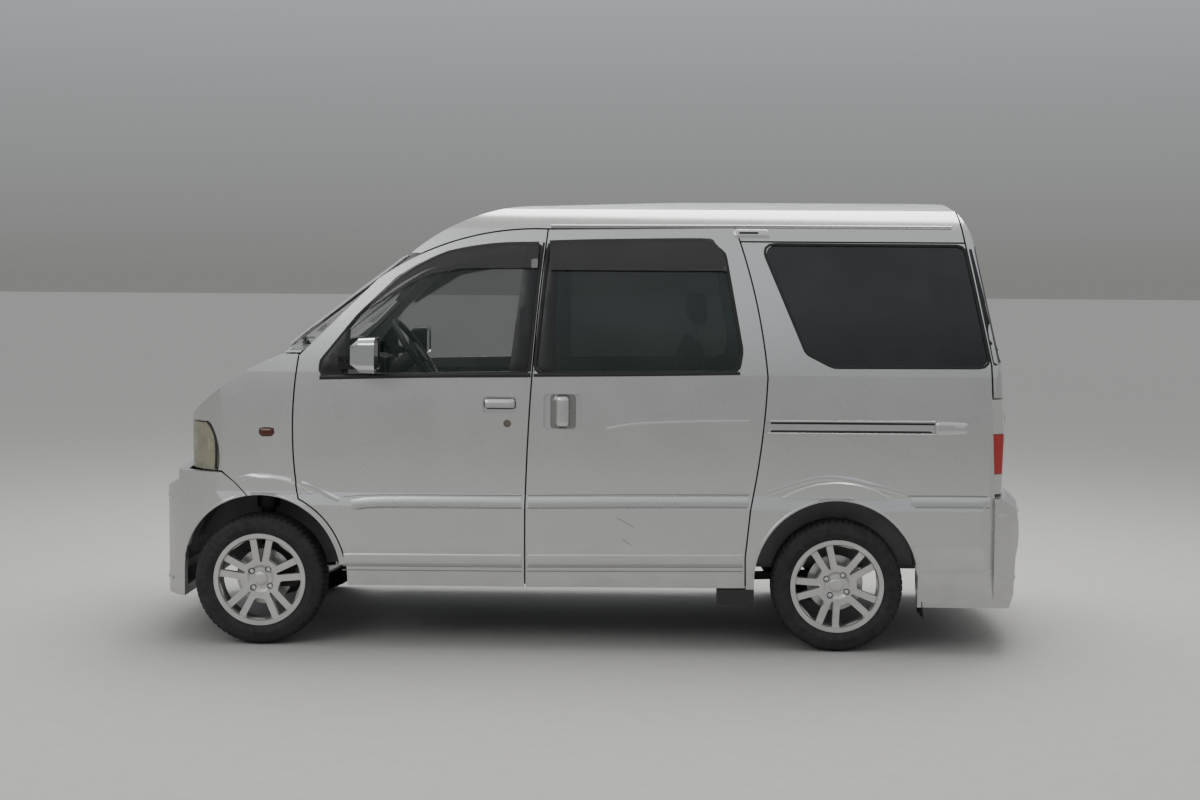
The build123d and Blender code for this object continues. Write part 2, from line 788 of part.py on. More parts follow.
# Tailgate, with its window, and the lamps beside it
with BuildPart() as rear_region:
    add(skin.part)
    add(seam_prism, mode=Mode.INTERSECT)
with BuildPart() as tailgate:
    add(rear_region.part)
    add(box_between((0, -WIDTH, 0), (LENGTH, 1, TAILGATE_LOW_Z)), mode=Mode.SUBTRACT)
    add(box_between((0, -WIDTH, 0), (LENGTH, -TAIL_LAMP_Y, TAIL_LAMP_TOP_Z + GAP)), mode=Mode.SUBTRACT)
    add(prism(lambda: draw(SEAM_BAND)), mode=Mode.SUBTRACT)
    add(rear_window(0), mode=Mode.SUBTRACT)
write_whole(tailgate, "tailgate")
with BuildPart() as tailgate_glass:
    add(glass_layer.part)
    add(rear_window(FIT), mode=Mode.INTERSECT)
    add(seam_prism, mode=Mode.INTERSECT)
write_whole(tailgate_glass, "tailgate_glass")
with BuildPart() as tail_lamp:
    add(rear_region.part)
    lamp_low = (0, -WIDTH, TAILGATE_LOW_Z + 12)
    add(box_between(lamp_low, (LENGTH, -TAIL_LAMP_Y - GAP, TAIL_LAMP_TOP_Z)), mode=Mode.INTERSECT)
write_pair(tail_lamp, "tail_lamps")

# Bumpers
with BuildPart() as rear_bumper:
    add(bumper_outer)
    add(bumper_inner, mode=Mode.SUBTRACT)
    add(seam_prism, mode=Mode.INTERSECT)
    add(box_between((0, -WIDTH, 0), (LENGTH, 1, BUMPER_TOP_Z + 4)), mode=Mode.INTERSECT)
write_whole(rear_bumper, "rear_bumper")
with BuildPart() as front_bumper:
    add(bumper_outer)
    add(bumper_inner, mode=Mode.SUBTRACT)
    add(prism(lambda: draw(FRONT_BUMPER_SIDE), near=-10.0), mode=Mode.INTERSECT)
    add(arch_cylinder(arch_front_x, ARCH_R, 300), mode=Mode.SUBTRACT)
    with BuildSketch(Plane.YZ):
        with Locations((0, INTAKE_Z)):
            RectangleRounded(2 * INTAKE_HALF, INTAKE_H, 28)
    extrude(amount=-LENGTH, mode=Mode.SUBTRACT)
write_whole(front_bumper, "front_bumper")

# Nose: lamps, grille, bonnet and fenders
with BuildPart() as headlamp:
    add(fixed_skin.part)
    add(prism(lambda: draw(HEADLAMP_SIDE), near=GRILLE_HALF + GAP), mode=Mode.INTERSECT)
write_pair(headlamp, "headlamps")
with BuildPart() as grille:
    add(fixed_skin.part)
    grille_low = (-LENGTH, -GRILLE_HALF, LAMP_LOW_Z)
    add(box_between(grille_low, (front_x, 1, LAMP_TOP_Z - GAP)), mode=Mode.INTERSECT)
    with BuildSketch(Plane.YZ):
        with Locations((0, (LAMP_LOW_Z + LAMP_TOP_Z) / 2 - 6)):
            with GridLocations(1, GRILLE_SLOT_PITCH, 1, GRILLE_SLOTS):
                SlotOverall(2 * GRILLE_HALF - 90, GRILLE_SLOT_H)
    extrude(amount=-LENGTH, mode=Mode.SUBTRACT)
write_whole(grille, "grille")
with BuildPart() as bonnet:
    add(outer)
    add(envelope(BONNET_WALL), mode=Mode.SUBTRACT)
    add(bonnet_block(0), mode=Mode.INTERSECT)
write_whole(bonnet, "bonnet")
with BuildPart() as fender:
    add(fixed_skin.part)
    add(box_between((-LENGTH, -WIDTH, 350), (B_X, -BONNET_HALF - GAP, COWL_Z)), mode=Mode.INTERSECT)
    add(door_hole, mode=Mode.SUBTRACT)
    add(prism(lambda: draw(FENDER_OFF), near=-10.0), mode=Mode.SUBTRACT)
    add(prism(lambda: draw(moved_in(HEADLAMP_SIDE, -GAP)), near=300), mode=Mode.SUBTRACT)
    add(bonnet_block(GAP), mode=Mode.SUBTRACT)
    add(box_between((-LENGTH, -GRILLE_HALF - GAP, 0), (0, 1, HEIGHT)), mode=Mode.SUBTRACT)
    add(arch_cylinder(arch_front_x, ARCH_R, 300), mode=Mode.SUBTRACT)
fender_block = box_between((arch_front_x - 40, -WIDTH, 600), (B_X, -300, COWL_Z))
with BuildPart() as fender_swelling:
    add(arch_swelling(arch_front_x, fender_block))
    add(door_hole, mode=Mode.SUBTRACT)
    add(prism(lambda: draw(FENDER_OFF), near=-10.0), mode=Mode.SUBTRACT)
with BuildPart() as swollen_fender:
    add(fender.part)
    add(fender_swelling.part)
write_pair(swollen_fender, "front_fenders")

# Windscreen and roof with the windscreen pillars
with BuildPart() as windscreen:
    add(glass_layer.part)
    add(screen_block(FIT), mode=Mode.INTERSECT)
    add(door_room.part, mode=Mode.SUBTRACT)
    add(box_between((-LENGTH, -half_width, 0), (0, -SCREEN_HALF, HEIGHT)), mode=Mode.SUBTRACT)
    add(box_between((HEADER_X + 120, -WIDTH, 0), (LENGTH, 1, HEIGHT)), mode=Mode.SUBTRACT)
write_whole(windscreen, "windscreen")
with BuildPart() as roof:
    add(fixed_skin.part)
    add(box_between((-LENGTH, -WIDTH, COWL_Z + GAP), (LENGTH, 1, LENGTH)), mode=Mode.INTERSECT)
    add(box_between((B_X + 100, -WIDTH, 0), (LENGTH, -300, QUARTER_TOP_Z)), mode=Mode.SUBTRACT)
    add(door_room.part, mode=Mode.SUBTRACT)
    add(slider_hole, mode=Mode.SUBTRACT)
    add(seam_prism, mode=Mode.SUBTRACT)
    add(front_of(screen_block(0)), mode=Mode.SUBTRACT)
write_whole(roof, "roof")

with BuildPart() as cowl:
    add(fixed_skin.part)
    cowl_low = (BONNET_REAR_X + GAP, -BONNET_HALF, 1100)
    add(box_between(cowl_low, (front_x + 200, 1, COWL_Z)), mode=Mode.INTERSECT)
write_whole(cowl, "cowl")

# Frame of pillars and roof rails inside the panels
rear_door_hole = box_between((SEAM_X - 300, -575, 500), (LENGTH + 10, 2, HEIGHT - 206))
with BuildPart() as pillars:
    add(frame_outer)
    add(frame_inner, mode=Mode.SUBTRACT)
    add(box_between((BULKHEAD_X, -WIDTH, FLOOR_Z + PANEL_FIT), (LENGTH, 1, HEIGHT)), mode=Mode.INTERSECT)
    add(prism(front_door_line, -28), mode=Mode.SUBTRACT)
    add(prism(sliding_door_line, -28), mode=Mode.SUBTRACT)
    add(prism(quarter_window_line, 12), mode=Mode.SUBTRACT)
    add(box_between((-LENGTH, -600, COWL_Z + 30), (HEADER_X + 60, 1, HEADER_Z - 30)), mode=Mode.SUBTRACT)
    add(rear_door_hole, mode=Mode.SUBTRACT)
    for bay_x in (HEADER_X + 160, (HEADER_X + SEAM_X) / 2 - 60):
        bay_end = (bay_x + WHEELBASE / 2 - 240, 1, HEIGHT)
        add(box_between((bay_x, -520, DOOR_TOP_Z - 100), bay_end), mode=Mode.SUBTRACT)
with BuildPart() as tailgate_seal:
    add(box_between((SEAM_X - 90, -590, 480), (LENGTH, 1, HEIGHT - 184)))
    add(prism(lambda: draw(moved_in(SEAM, PANEL_FIT)), near=-10.0), mode=Mode.INTERSECT)
with BuildPart() as seals:
    add(prism(front_door_line, -EDGE_STEP - 4))
    add(prism(front_door_line, -EDGE_STEP - 4 - SEAL_W), mode=Mode.SUBTRACT)
    add(box_between((-LENGTH, -WIDTH, 0), (A_X + 260, 1, HEIGHT)), mode=Mode.SUBTRACT)
    add(tailgate_seal.part)
    add(rear_door_hole, mode=Mode.SUBTRACT)
    add(seal_layer.part, mode=Mode.INTERSECT)
with BuildPart() as bulkhead:
    add(box_between((BULKHEAD_X, -half_width, FLOOR_Z + PANEL_FIT), (BULKHEAD_X + 20, 0.5, COWL_Z - 30)))
    add(frame_outer, mode=Mode.INTERSECT)
with BuildPart() as body_frame:
    add(pillars.part)
    add(seals.part)
    add(bulkhead.part)
    for house_x, house_y in ((arch_front_x, FRONT_HOUSE_Y), (arch_rear_x, REAR_HOUSE_Y)):
        house_clear = HOUSE_R + WHEELHOUSE_WALL + PANEL_FIT
        add(arch_cylinder(house_x, house_clear, house_y - WHEELHOUSE_WALL - PANEL_FIT), mode=Mode.SUBTRACT)
    with Locations((DOOR_HINGE[0], -DOOR_HINGE[1], 940)):
        Cylinder(74, 700, mode=Mode.SUBTRACT)
write_whole(body_frame, "body_frame")

# Floor with its sills, rails, wheelhouses, nose support and engine cover
with BuildPart() as low_shell:
    floor_low = (BULKHEAD_X, -half_width, RAIL_TOP_Z)
    add(box_between(floor_low, (half_length - 140, 0.5, FLOOR_Z)))
    sill_low = (arch_front_x + HOUSE_R + 15, -half_width, SILL_Z + 4)
    add(box_between(sill_low, (arch_rear_x - HOUSE_R - 15, -SILL_IN, FLOOR_Z)))
    rail_low = (SUPPORT_X, -RAIL_Y - RAIL_W / 2, RAIL_LOW_Z)
    add(box_between(rail_low, (half_length - 130, -RAIL_Y + RAIL_W / 2, RAIL_TOP_Z + 1)))
    add(box_between((SUPPORT_X, -BONNET_HALF, RAIL_LOW_Z), (SUPPORT_X + 25, 0.5, 960)))
    for house_x, house_y in ((arch_front_x, FRONT_HOUSE_Y), (arch_rear_x, REAR_HOUSE_Y)):
        add(house_block(house_x, HOUSE_R + WHEELHOUSE_WALL, house_y - WHEELHOUSE_WALL))
    add(frame_outer, mode=Mode.INTERSECT)
with BuildPart() as bumper_beam:
    add(box_between((-half_length + 30, -500, 420), (SUPPORT_X + 10, 0.5, 520)))
    add(bumper_inner, mode=Mode.INTERSECT)
with BuildPart() as rest_foot:
    add(box_between((SUPPORT_X, -520, LAMP_TOP_Z - 60), (SUPPORT_X + 25, -430, LAMP_TOP_Z + 20)))
    add(frame_outer, mode=Mode.INTERSECT)
with BuildPart() as bonnet_rest:
    add(box_between((SUPPORT_X, -520, LAMP_TOP_Z + GAP), (SUPPORT_X + 60, -430, LAMP_TOP_Z + 150)))
    add(envelope(BONNET_WALL + SEAL_FIT), mode=Mode.INTERSECT)
    add(rest_foot.part)
with BuildPart() as left_floor:
    add(low_shell.part)
    add(bumper_beam.part)
    add(bonnet_rest.part)
    add(arch_cylinder(arch_front_x, HOUSE_R, FRONT_HOUSE_Y), mode=Mode.SUBTRACT)
    add(arch_cylinder(arch_rear_x, HOUSE_R, REAR_HOUSE_Y), mode=Mode.SUBTRACT)
    cover_x = (ENGINE_X - 250, ENGINE_X + 250)
    add(box_between((cover_x[0] - 50, -290, FLOOR_Z - 1), (cover_x[1] + 50, 1, COVER_TOP_Z)))
    add(box_between((cover_x[0], -240, 0), (cover_x[1], 2, COVER_TOP_Z - 18)), mode=Mode.SUBTRACT)
    for mount_x in (ENGINE_X - 170, ENGINE_X + 140):
        mount_low = (mount_x, -RAIL_Y + 25, RAIL_LOW_Z + 10)
        add(box_between(mount_low, (mount_x + 50, -ENGINE_WIDTH / 2 - PANEL_FIT, RAIL_LOW_Z + 50)))
    with Locations((rear_x, -RAIL_Y, TYRE_R)):
        Cylinder(74, 2 * RAIL_W, rotation=(90, 0, 0), mode=Mode.SUBTRACT)
write_whole(left_floor, "floor_pan")

# Seats
with BuildPart() as front_seat:
    add(seat(FRONT_SEAT_X, -365, 250, 60, (0,)))
write_pair(front_seat, "front_seats")
with BuildPart() as second_seat:
    add(seat(SECOND_SEAT_X, 0, 590, 450, (-300, 300)))
write(second_seat, "second_bench")
with BuildPart() as third_seat:
    add(seat(THIRD_SEAT_X, 0, 510, 400, (-260, 260)))
write(third_seat, "third_bench")

# Door mirrors: a foot on the window's front corner, an arm and a housing with a hollow for the glass
def mirror_line():
    FilletPolyline(
        (front_x + 266, BELT_Z - 8),
        (front_x + 274, upper(0.065)),
        (front_x + 392, upper(0.27)),
        (front_x + 378, BELT_Z - 8),
        radius=8,
        close=True,
    )


with BuildPart() as mirror_foot:
    add(prism(mirror_line, -1))
    add(prism(front_window_line, -FIT), mode=Mode.INTERSECT)
    add(outer, mode=Mode.INTERSECT)
    add(envelope(GLASS_SINK - PANEL_FIT), mode=Mode.SUBTRACT)
with BuildPart() as door_mirror:
    add(mirror_foot.part)
    with BuildSketch(Plane.XZ.offset(half_width - 40)):
        with Locations((MIRROR_X - 74, MIRROR_Z - 46)):
            RectangleRounded(90, 34, 8)
    extrude(amount=80)
    add(glass_outer, mode=Mode.SUBTRACT)
    with BuildSketch(Plane.YZ.offset(MIRROR_X + 52)):
        with Locations((-half_width - 102, MIRROR_Z)):
            RectangleRounded(168, 146, 34)
    extrude(amount=-66, taper=3)
    with BuildSketch(Plane.YZ.offset(MIRROR_X - 13)):
        with Locations((-half_width - 102, MIRROR_Z)):
            RectangleRounded(158, 136, 29)
    extrude(amount=-38, taper=38)
    with BuildSketch(Plane.YZ.offset(MIRROR_X + 52)):
        with Locations((-half_width - 102, MIRROR_Z)):
            RectangleRounded(156, 134, 28)
    extrude(amount=-8, mode=Mode.SUBTRACT)
write_sides(door_mirror, "door_mirror")

steer_axis = (cos(radians(STEER_TILT)), 0, sin(radians(STEER_TILT)))
steer_plane = Plane(origin=(STEER_X, STEER_Y, STEER_Z), x_dir=(0, 1, 0), z_dir=steer_axis)

# Dashboard with the steering column's shroud, and the steering wheel
dash_x = BULKHEAD_X + 20 + PANEL_FIT
with BuildPart() as dashboard:
    with BuildSketch(Plane.XZ.offset(-620)):
        with BuildLine():
            Polyline((dash_x + 90, 1140), (dash_x, 1075), (dash_x, 860))
            Polyline((dash_x, 860), (dash_x + 185, 860), (dash_x + 320, 900))
            ThreePointArc((dash_x + 320, 900), (dash_x + 340, 1010), (dash_x + 315, 1100))
            ThreePointArc((dash_x + 315, 1100), (dash_x + 215, 1148), (dash_x + 90, 1140))
        make_face()
    extrude(amount=1240)
    with BuildSketch(Plane.XZ.offset(-STEER_Y - 150)):
        with BuildLine():
            Polyline((dash_x + 130, 1100), (dash_x + 318, 1085), (dash_x + 330, 1172))
            ThreePointArc((dash_x + 330, 1172), (dash_x + 240, 1186), (dash_x + 130, 1100))
        make_face()
    extrude(amount=300)
    with BuildSketch(steer_plane.offset(-26)):
        Circle(38)
    extrude(amount=-200)
    with BuildSketch(steer_plane.offset(-26)):
        Circle(16 + SPINDLE_FIT)
    extrude(amount=-120, mode=Mode.SUBTRACT)
write(dashboard, "dashboard")

with BuildPart() as steering_wheel:
    with BuildSketch(steer_plane):
        Circle(52)
    extrude(amount=20, both=True)
    with BuildSketch(steer_plane):
        for angle in (180, 270, 0):
            with PolarLocations(STEER_R / 2, 1, start_angle=angle):
                Rectangle(STEER_R, 34)
    extrude(amount=7, both=True)
    with Locations(steer_plane):
        Torus(STEER_R, 14)
    with BuildSketch(steer_plane.offset(-90)):
        Circle(16)
    extrude(amount=80)
write(steering_wheel, "steering_wheel")

# Engine, tank, exhaust and the driveline
engine_rear = ENGINE_X + ENGINE_LENGTH / 2
with BuildPart() as engine:
    with Locations((ENGINE_X, 0, (ENGINE_LOW_Z + ENGINE_TOP_Z) / 2)):
        Box(ENGINE_LENGTH, ENGINE_WIDTH, ENGINE_TOP_Z - ENGINE_LOW_Z)
write(engine, "engine")
with BuildPart() as tank:
    with Locations(((engine_rear + rear_x) / 2 - 70, -150, RAIL_TOP_Z - 75 - PANEL_FIT)):
        Box(620, 220, 150)
    fillet(tank.edges().filter_by(Axis.X), 30)
write(tank, "fuel_tank")
PIPE_Z = 285.0
PIPE_R = 20.0
MUFFLER_Y = 465.0
MUFFLER_X = rear_x + 352
with BuildPart() as exhaust:
    with BuildLine() as pipe_line:
        FilletPolyline(
            (engine_rear + SEAL_FIT, 170, PIPE_Z),
            (rear_x - 198, 170, PIPE_Z),
            (rear_x - 98, 200, TYRE_R + 70),
            (rear_x + 72, 200, TYRE_R + 70),
            (rear_x + 142, 260, PIPE_Z - 23),
            (rear_x + 142, MUFFLER_Y, PIPE_Z - 23),
            (rear_x + 212, MUFFLER_Y, PIPE_Z + 5),
            radius=24,
        )
    with BuildSketch(Plane(origin=(engine_rear + SEAL_FIT, 170, PIPE_Z), z_dir=(1, 0, 0))):
        Circle(PIPE_R)
    sweep(path=pipe_line.line)
    with Locations((MUFFLER_X, MUFFLER_Y, 300)):
        Cylinder(62, 360, rotation=(0, 90, 0))
    fillet(exhaust.edges().filter_by(GeomType.CIRCLE).filter_by(lambda e: abs(e.radius - 62) < 1), 12)
    with BuildSketch(Plane.YZ.offset(MUFFLER_X + 175)):
        with Locations((MUFFLER_Y, 272)):
            Circle(18)
            Circle(16, mode=Mode.SUBTRACT)
    extrude(amount=half_length - 106 - MUFFLER_X - 175)
    for hanger_x in (MUFFLER_X - 80, MUFFLER_X + 120):
        hanger_top = (hanger_x + 20, MUFFLER_Y + 15, RAIL_TOP_Z - PANEL_FIT)
        add(box_between((hanger_x, MUFFLER_Y - 15, 340), hanger_top))
write(exhaust, "exhaust")
with BuildPart() as propshaft:
    with BuildSketch(Plane.YZ.offset(engine_rear + PANEL_FIT)):
        with Locations((0, TYRE_R)):
            Circle(28)
    extrude(amount=rear_x - 92 - engine_rear - 2 * PANEL_FIT)
write(propshaft, "propshaft")

# Rear axle: tube, differential, hub seats, trailing arms and coil springs
with BuildPart() as rear_axle:
    with BuildSketch(Plane.XZ):
        with BuildLine():
            Polyline((rear_x, TYRE_R), (rear_x - 92, TYRE_R), (rear_x - 88, TYRE_R + 26))
            ThreePointArc((rear_x - 88, TYRE_R + 26), (rear_x - 64, TYRE_R + 62), (rear_x, TYRE_R + 88))
            Line((rear_x, TYRE_R + 88), (rear_x, TYRE_R))
        make_face()
    revolve(axis=Axis((rear_x, 0, TYRE_R), (1, 0, 0)))
    with Locations((rear_x, 0, TYRE_R)):
        Cylinder(88, 100, rotation=(90, 0, 0))
        Cylinder(34, 2 * (wheel_y - 60), rotation=(90, 0, 0))
        Cylinder(SPINDLE_R, 2 * (wheel_y - 5), rotation=(90, 0, 0))
    for side in (-1, 1):
        with Locations((rear_x, side * 480, TYRE_R + 33)):
            Cylinder(56, 8)
        with Locations((rear_x, side * 480, (TYRE_R + RAIL_TOP_Z - PANEL_FIT) / 2)):
            Cylinder(34, RAIL_TOP_Z - PANEL_FIT - TYRE_R)
        with BuildSketch(Plane.XZ.offset(side * RAIL_Y)):
            with BuildLine():
                Polyline(
                    (rear_x, TYRE_R + 10),
                    (rear_x - 470, TYRE_R - 10),
                    (rear_x - 480, RAIL_LOW_Z - PANEL_FIT),
                    (rear_x - 530, RAIL_LOW_Z - PANEL_FIT),
                    (rear_x - 520, TYRE_R - 42),
                    (rear_x, TYRE_R - 26),
                    close=True,
                )
            make_face()
        extrude(amount=18, both=True)
write(rear_axle, "rear_axle")

# Front suspension: crossmember, lower arms, struts with springs, and the steering rack
with BuildPart() as strut:
    with Locations((front_x, -STRUT_Y, KNUCKLE_TOP_Z + SEAL_FIT + 200)):
        Cylinder(20, 400)
    with Locations((front_x, -STRUT_Y, 500)):
        Cylinder(31, 190)
    with Locations((front_x, -STRUT_Y, 600)):
        Cylinder(48, 70)
    add(arch_cylinder(arch_front_x, HOUSE_R - PANEL_FIT, FRONT_HOUSE_Y), mode=Mode.INTERSECT)
with BuildPart() as front_suspension:
    add(box_between((front_x - 60, -375, ARM_LOW_Z + 50), (front_x + 60, 375, RAIL_LOW_Z - PANEL_FIT)))
    add(box_between((front_x + 75, -470, TYRE_R - 40), (front_x + 115, 470, TYRE_R - 5)))
    add(box_between((front_x + 50, -260, TYRE_R - 40), (front_x + 80, 260, TYRE_R - 5)))
    with BuildSketch(Plane.XY.offset(ARM_LOW_Z)):
        for side in (-1, 1):
            with BuildLine():
                FilletPolyline(
                    (front_x - 110, side * 300),
                    (front_x + 150, side * 300),
                    (front_x + 22, side * (KINGPIN_Y + 18)),
                    (front_x - 22, side * (KINGPIN_Y + 18)),
                    radius=14,
                    close=True,
                )
            make_face()
            with Locations((front_x, side * KINGPIN_Y)):
                Circle(BALL_PIN_R + SPINDLE_FIT, mode=Mode.SUBTRACT)
    extrude(amount=ARM_THICK)
    for side in (-1, 1):
        arm_low = (front_x - 50, min(side * 310, side * 360), ARM_LOW_Z)
        add(box_between(arm_low, (front_x + 50, max(side * 310, side * 360), RAIL_LOW_Z - 20)))
    add(strut.part)
    mirror(strut.part, about=Plane.XZ)
write(front_suspension, "front_suspension")

# Steering knuckle with its spindle, ball pin, spring seat and brake caliper
KNUCKLE_BLOCKS = (
    # the block's low x, y, z from the kingpin's line and the ground, and its high x, y, z
    ((-30, -4, TYRE_R - 75), (30, 26, TYRE_R + 75)),
    ((-25, -4, ARM_LOW_Z + ARM_THICK + SEAL_FIT), (25, 40, TYRE_R)),
    ((-30, -4, TYRE_R + 30), (30, KINGPIN_Y - STRUT_Y + 42, KNUCKLE_TOP_Z)),
    ((20, -14, TYRE_R - 40), (138, 4, TYRE_R + 40)),
    ((68, -72, TYRE_R - 40), (138, -10, TYRE_R + 40)),
)
with BuildPart() as knuckle:
    for low, high in KNUCKLE_BLOCKS:
        block_low, block_high = [(front_x + x, y - KINGPIN_Y, z) for x, y, z in (low, high)]
        add(box_between(block_low, block_high))
    disc_low = (front_x, -KINGPIN_Y - 55, 0)
    add(box_between(disc_low, (front_x + DISC_R + 7, -KINGPIN_Y - 22, HEIGHT)), mode=Mode.SUBTRACT)
    with Locations((front_x, -(KINGPIN_Y + wheel_y - 5) / 2, TYRE_R)):
        Cylinder(SPINDLE_R, wheel_y - 5 - KINGPIN_Y, rotation=(90, 0, 0))
    with Locations((front_x, -KINGPIN_Y, ARM_LOW_Z + ARM_THICK / 2 + 5)):
        Cylinder(BALL_PIN_R, ARM_THICK + 10)
write_sides(knuckle, "knuckle")

# Wheels: a barrel, a dished face with five pairs of spokes, the hub and the brake disc
with BuildSketch() as big_window:
    with BuildLine():
        FilletPolyline((84, -20), (84, 20), (167, 60), (167, -60), radius=9, close=True)
    make_face()
with BuildSketch() as small_window:
    with BuildLine():
        Polyline((72, -4), (72, 4), (171, 21), (171, -21), close=True)
    make_face()
with BuildSketch() as window_limit:
    Circle(RIM_R - 21)
with BuildSketch() as windows:
    for angle in range(0, 360, 72):
        add(big_window.sketch, rotation=angle + 36)
        add(small_window.sketch, rotation=angle)
    add(window_limit.sketch, mode=Mode.INTERSECT)
WHEELS = (
    # name, x, side, angle of a small window, lug angle
    ("front_left", front_x, -1, 88, 51),
    ("front_right", front_x, 1, 80, 40),
    ("rear_left", rear_x, -1, 113, 58),
    ("rear_right", rear_x, 1, 60, 20),
)
for name, x, side, window_angle, lug_angle in WHEELS:
    hub_plane = Plane(origin=(x, side * wheel_y, TYRE_R), x_dir=(-side, 0, 0), z_dir=(0, side, 0))
    with BuildPart() as wheel:
        with BuildSketch(Plane.XZ):
            with BuildLine():
                Polyline(
                    (0, 38), (46, 38), (58, 46), (170, 58), (176, 70), (RIM_R, 70), (RIM_R, -70),
                    (RIM_R - 9, -70), (RIM_R - 18, -44), (RIM_R - 18, 24), (170, 32), (70, 12),
                    (60, -30), (DISC_R, -30), (DISC_R, -46), (60, -46), (60, -50), (0, -50),
                    close=True,
                )
            make_face()
        revolve(axis=Axis.Z)
        with BuildSketch(Plane.XY.offset(-26)):
            add(windows.sketch, rotation=window_angle)
        extrude(amount=120, mode=Mode.SUBTRACT)
        with BuildSketch(Plane.XY.offset(16)):
            with PolarLocations(50, 4, start_angle=lug_angle):
                Circle(15)
        extrude(amount=60, mode=Mode.SUBTRACT)
        with BuildSketch(Plane.XY.offset(-50)):
            Circle(SPINDLE_R + SPINDLE_FIT)
        extrude(amount=64, mode=Mode.SUBTRACT)
    with BuildPart() as placed_wheel:
        add(wheel.part.moved(hub_plane.location))
    write(placed_wheel, f"wheel_{name}")
    with BuildPart() as tyre:
        with BuildSketch(Plane.XZ):
            with BuildLine():
                ThreePointArc((RIM_R + 0.2, 68), (RIM_R + 38, TYRE_W / 2), (TYRE_R - 10, 68))
                Polyline((TYRE_R - 10, 68), (TYRE_R, 54), (TYRE_R, -54), (TYRE_R - 10, -68))
                ThreePointArc((TYRE_R - 10, -68), (RIM_R + 38, -TYRE_W / 2), (RIM_R + 0.2, -68))
                Line((RIM_R + 0.2, -68), (RIM_R + 0.2, 68))
            make_face()
        revolve(axis=Axis.Z)
    with BuildPart() as placed_tyre:
        add(tyre.part.moved(hub_plane.location))
    write(placed_tyre, f"tyre_{name}")
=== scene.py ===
"""The looks of a compact one-box passenger van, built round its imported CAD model. Metres, front faces -X."""

import json
import math

import bmesh
import bpy
from mathutils import Matrix, Vector, geometry
from mathutils.bvhtree import BVHTree


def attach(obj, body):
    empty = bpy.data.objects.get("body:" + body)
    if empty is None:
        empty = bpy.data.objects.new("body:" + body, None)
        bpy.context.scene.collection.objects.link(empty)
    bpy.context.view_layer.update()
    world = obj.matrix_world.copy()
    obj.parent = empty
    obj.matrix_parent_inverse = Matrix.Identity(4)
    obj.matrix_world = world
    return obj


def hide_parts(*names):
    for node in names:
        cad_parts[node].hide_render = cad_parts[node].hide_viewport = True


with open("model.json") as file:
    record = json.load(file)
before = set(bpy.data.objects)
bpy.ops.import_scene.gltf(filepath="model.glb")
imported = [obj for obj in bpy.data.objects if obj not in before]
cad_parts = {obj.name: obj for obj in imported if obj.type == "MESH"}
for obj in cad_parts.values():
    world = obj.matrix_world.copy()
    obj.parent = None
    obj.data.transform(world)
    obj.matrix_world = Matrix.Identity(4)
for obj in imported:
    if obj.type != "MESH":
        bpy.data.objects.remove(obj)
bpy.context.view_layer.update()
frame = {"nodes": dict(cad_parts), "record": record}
NODES = frame["nodes"]

# Places in the row frame, as in the CAD source
FRONT_X = -1.3825
REAR_X = 1.0475
B_X = FRONT_X + 1.120
C_X = REAR_X - 0.304
SEAM_X = REAR_X + 0.621
HALF_W = 0.7575
HEIGHT = 1.896
BELT_Z = 1.158
SILL_Z = 0.262
ARCH_Z = 0.300
ARCH_R = 0.340
TYRE_R = 0.277
WHEEL_Y = 0.6525
ARCH_FRONT_X = FRONT_X + 0.008
ARCH_REAR_X = REAR_X - 0.008


def upper(share):
    """A height in the glasshouse, as a share of the way from the belt line to the roof."""
    return BELT_Z + share * (HEIGHT - BELT_Z)


# Camera at the photograph's place, lens and tilt
CAMERA_AT = Vector((0.2765, -8.250, 1.575))
YAW, PITCH, ROLL = math.radians(1.72), math.radians(3.99), math.radians(0.40)
right = Vector((math.cos(YAW), math.sin(YAW), 0))
ahead = Vector((-math.sin(YAW) * math.cos(PITCH), math.cos(YAW) * math.cos(PITCH), -math.sin(PITCH)))
top = right.cross(ahead)
cam_x = right * math.cos(ROLL) + top * math.sin(ROLL)
cam_y = top * math.cos(ROLL) - right * math.sin(ROLL)
camera_data = bpy.data.cameras.new("camera")
camera_data.lens = 54.36
camera_data.sensor_width = 36
camera = bpy.data.objects.new("camera", camera_data)
camera.matrix_world = Matrix.Translation(CAMERA_AT) @ Matrix((cam_x, cam_y, -ahead)).transposed().to_4x4()
bpy.context.scene.collection.objects.link(camera)
bpy.context.scene.camera = camera


# Materials
def rgb(red, green, blue):
    return (red, green, blue, 1)


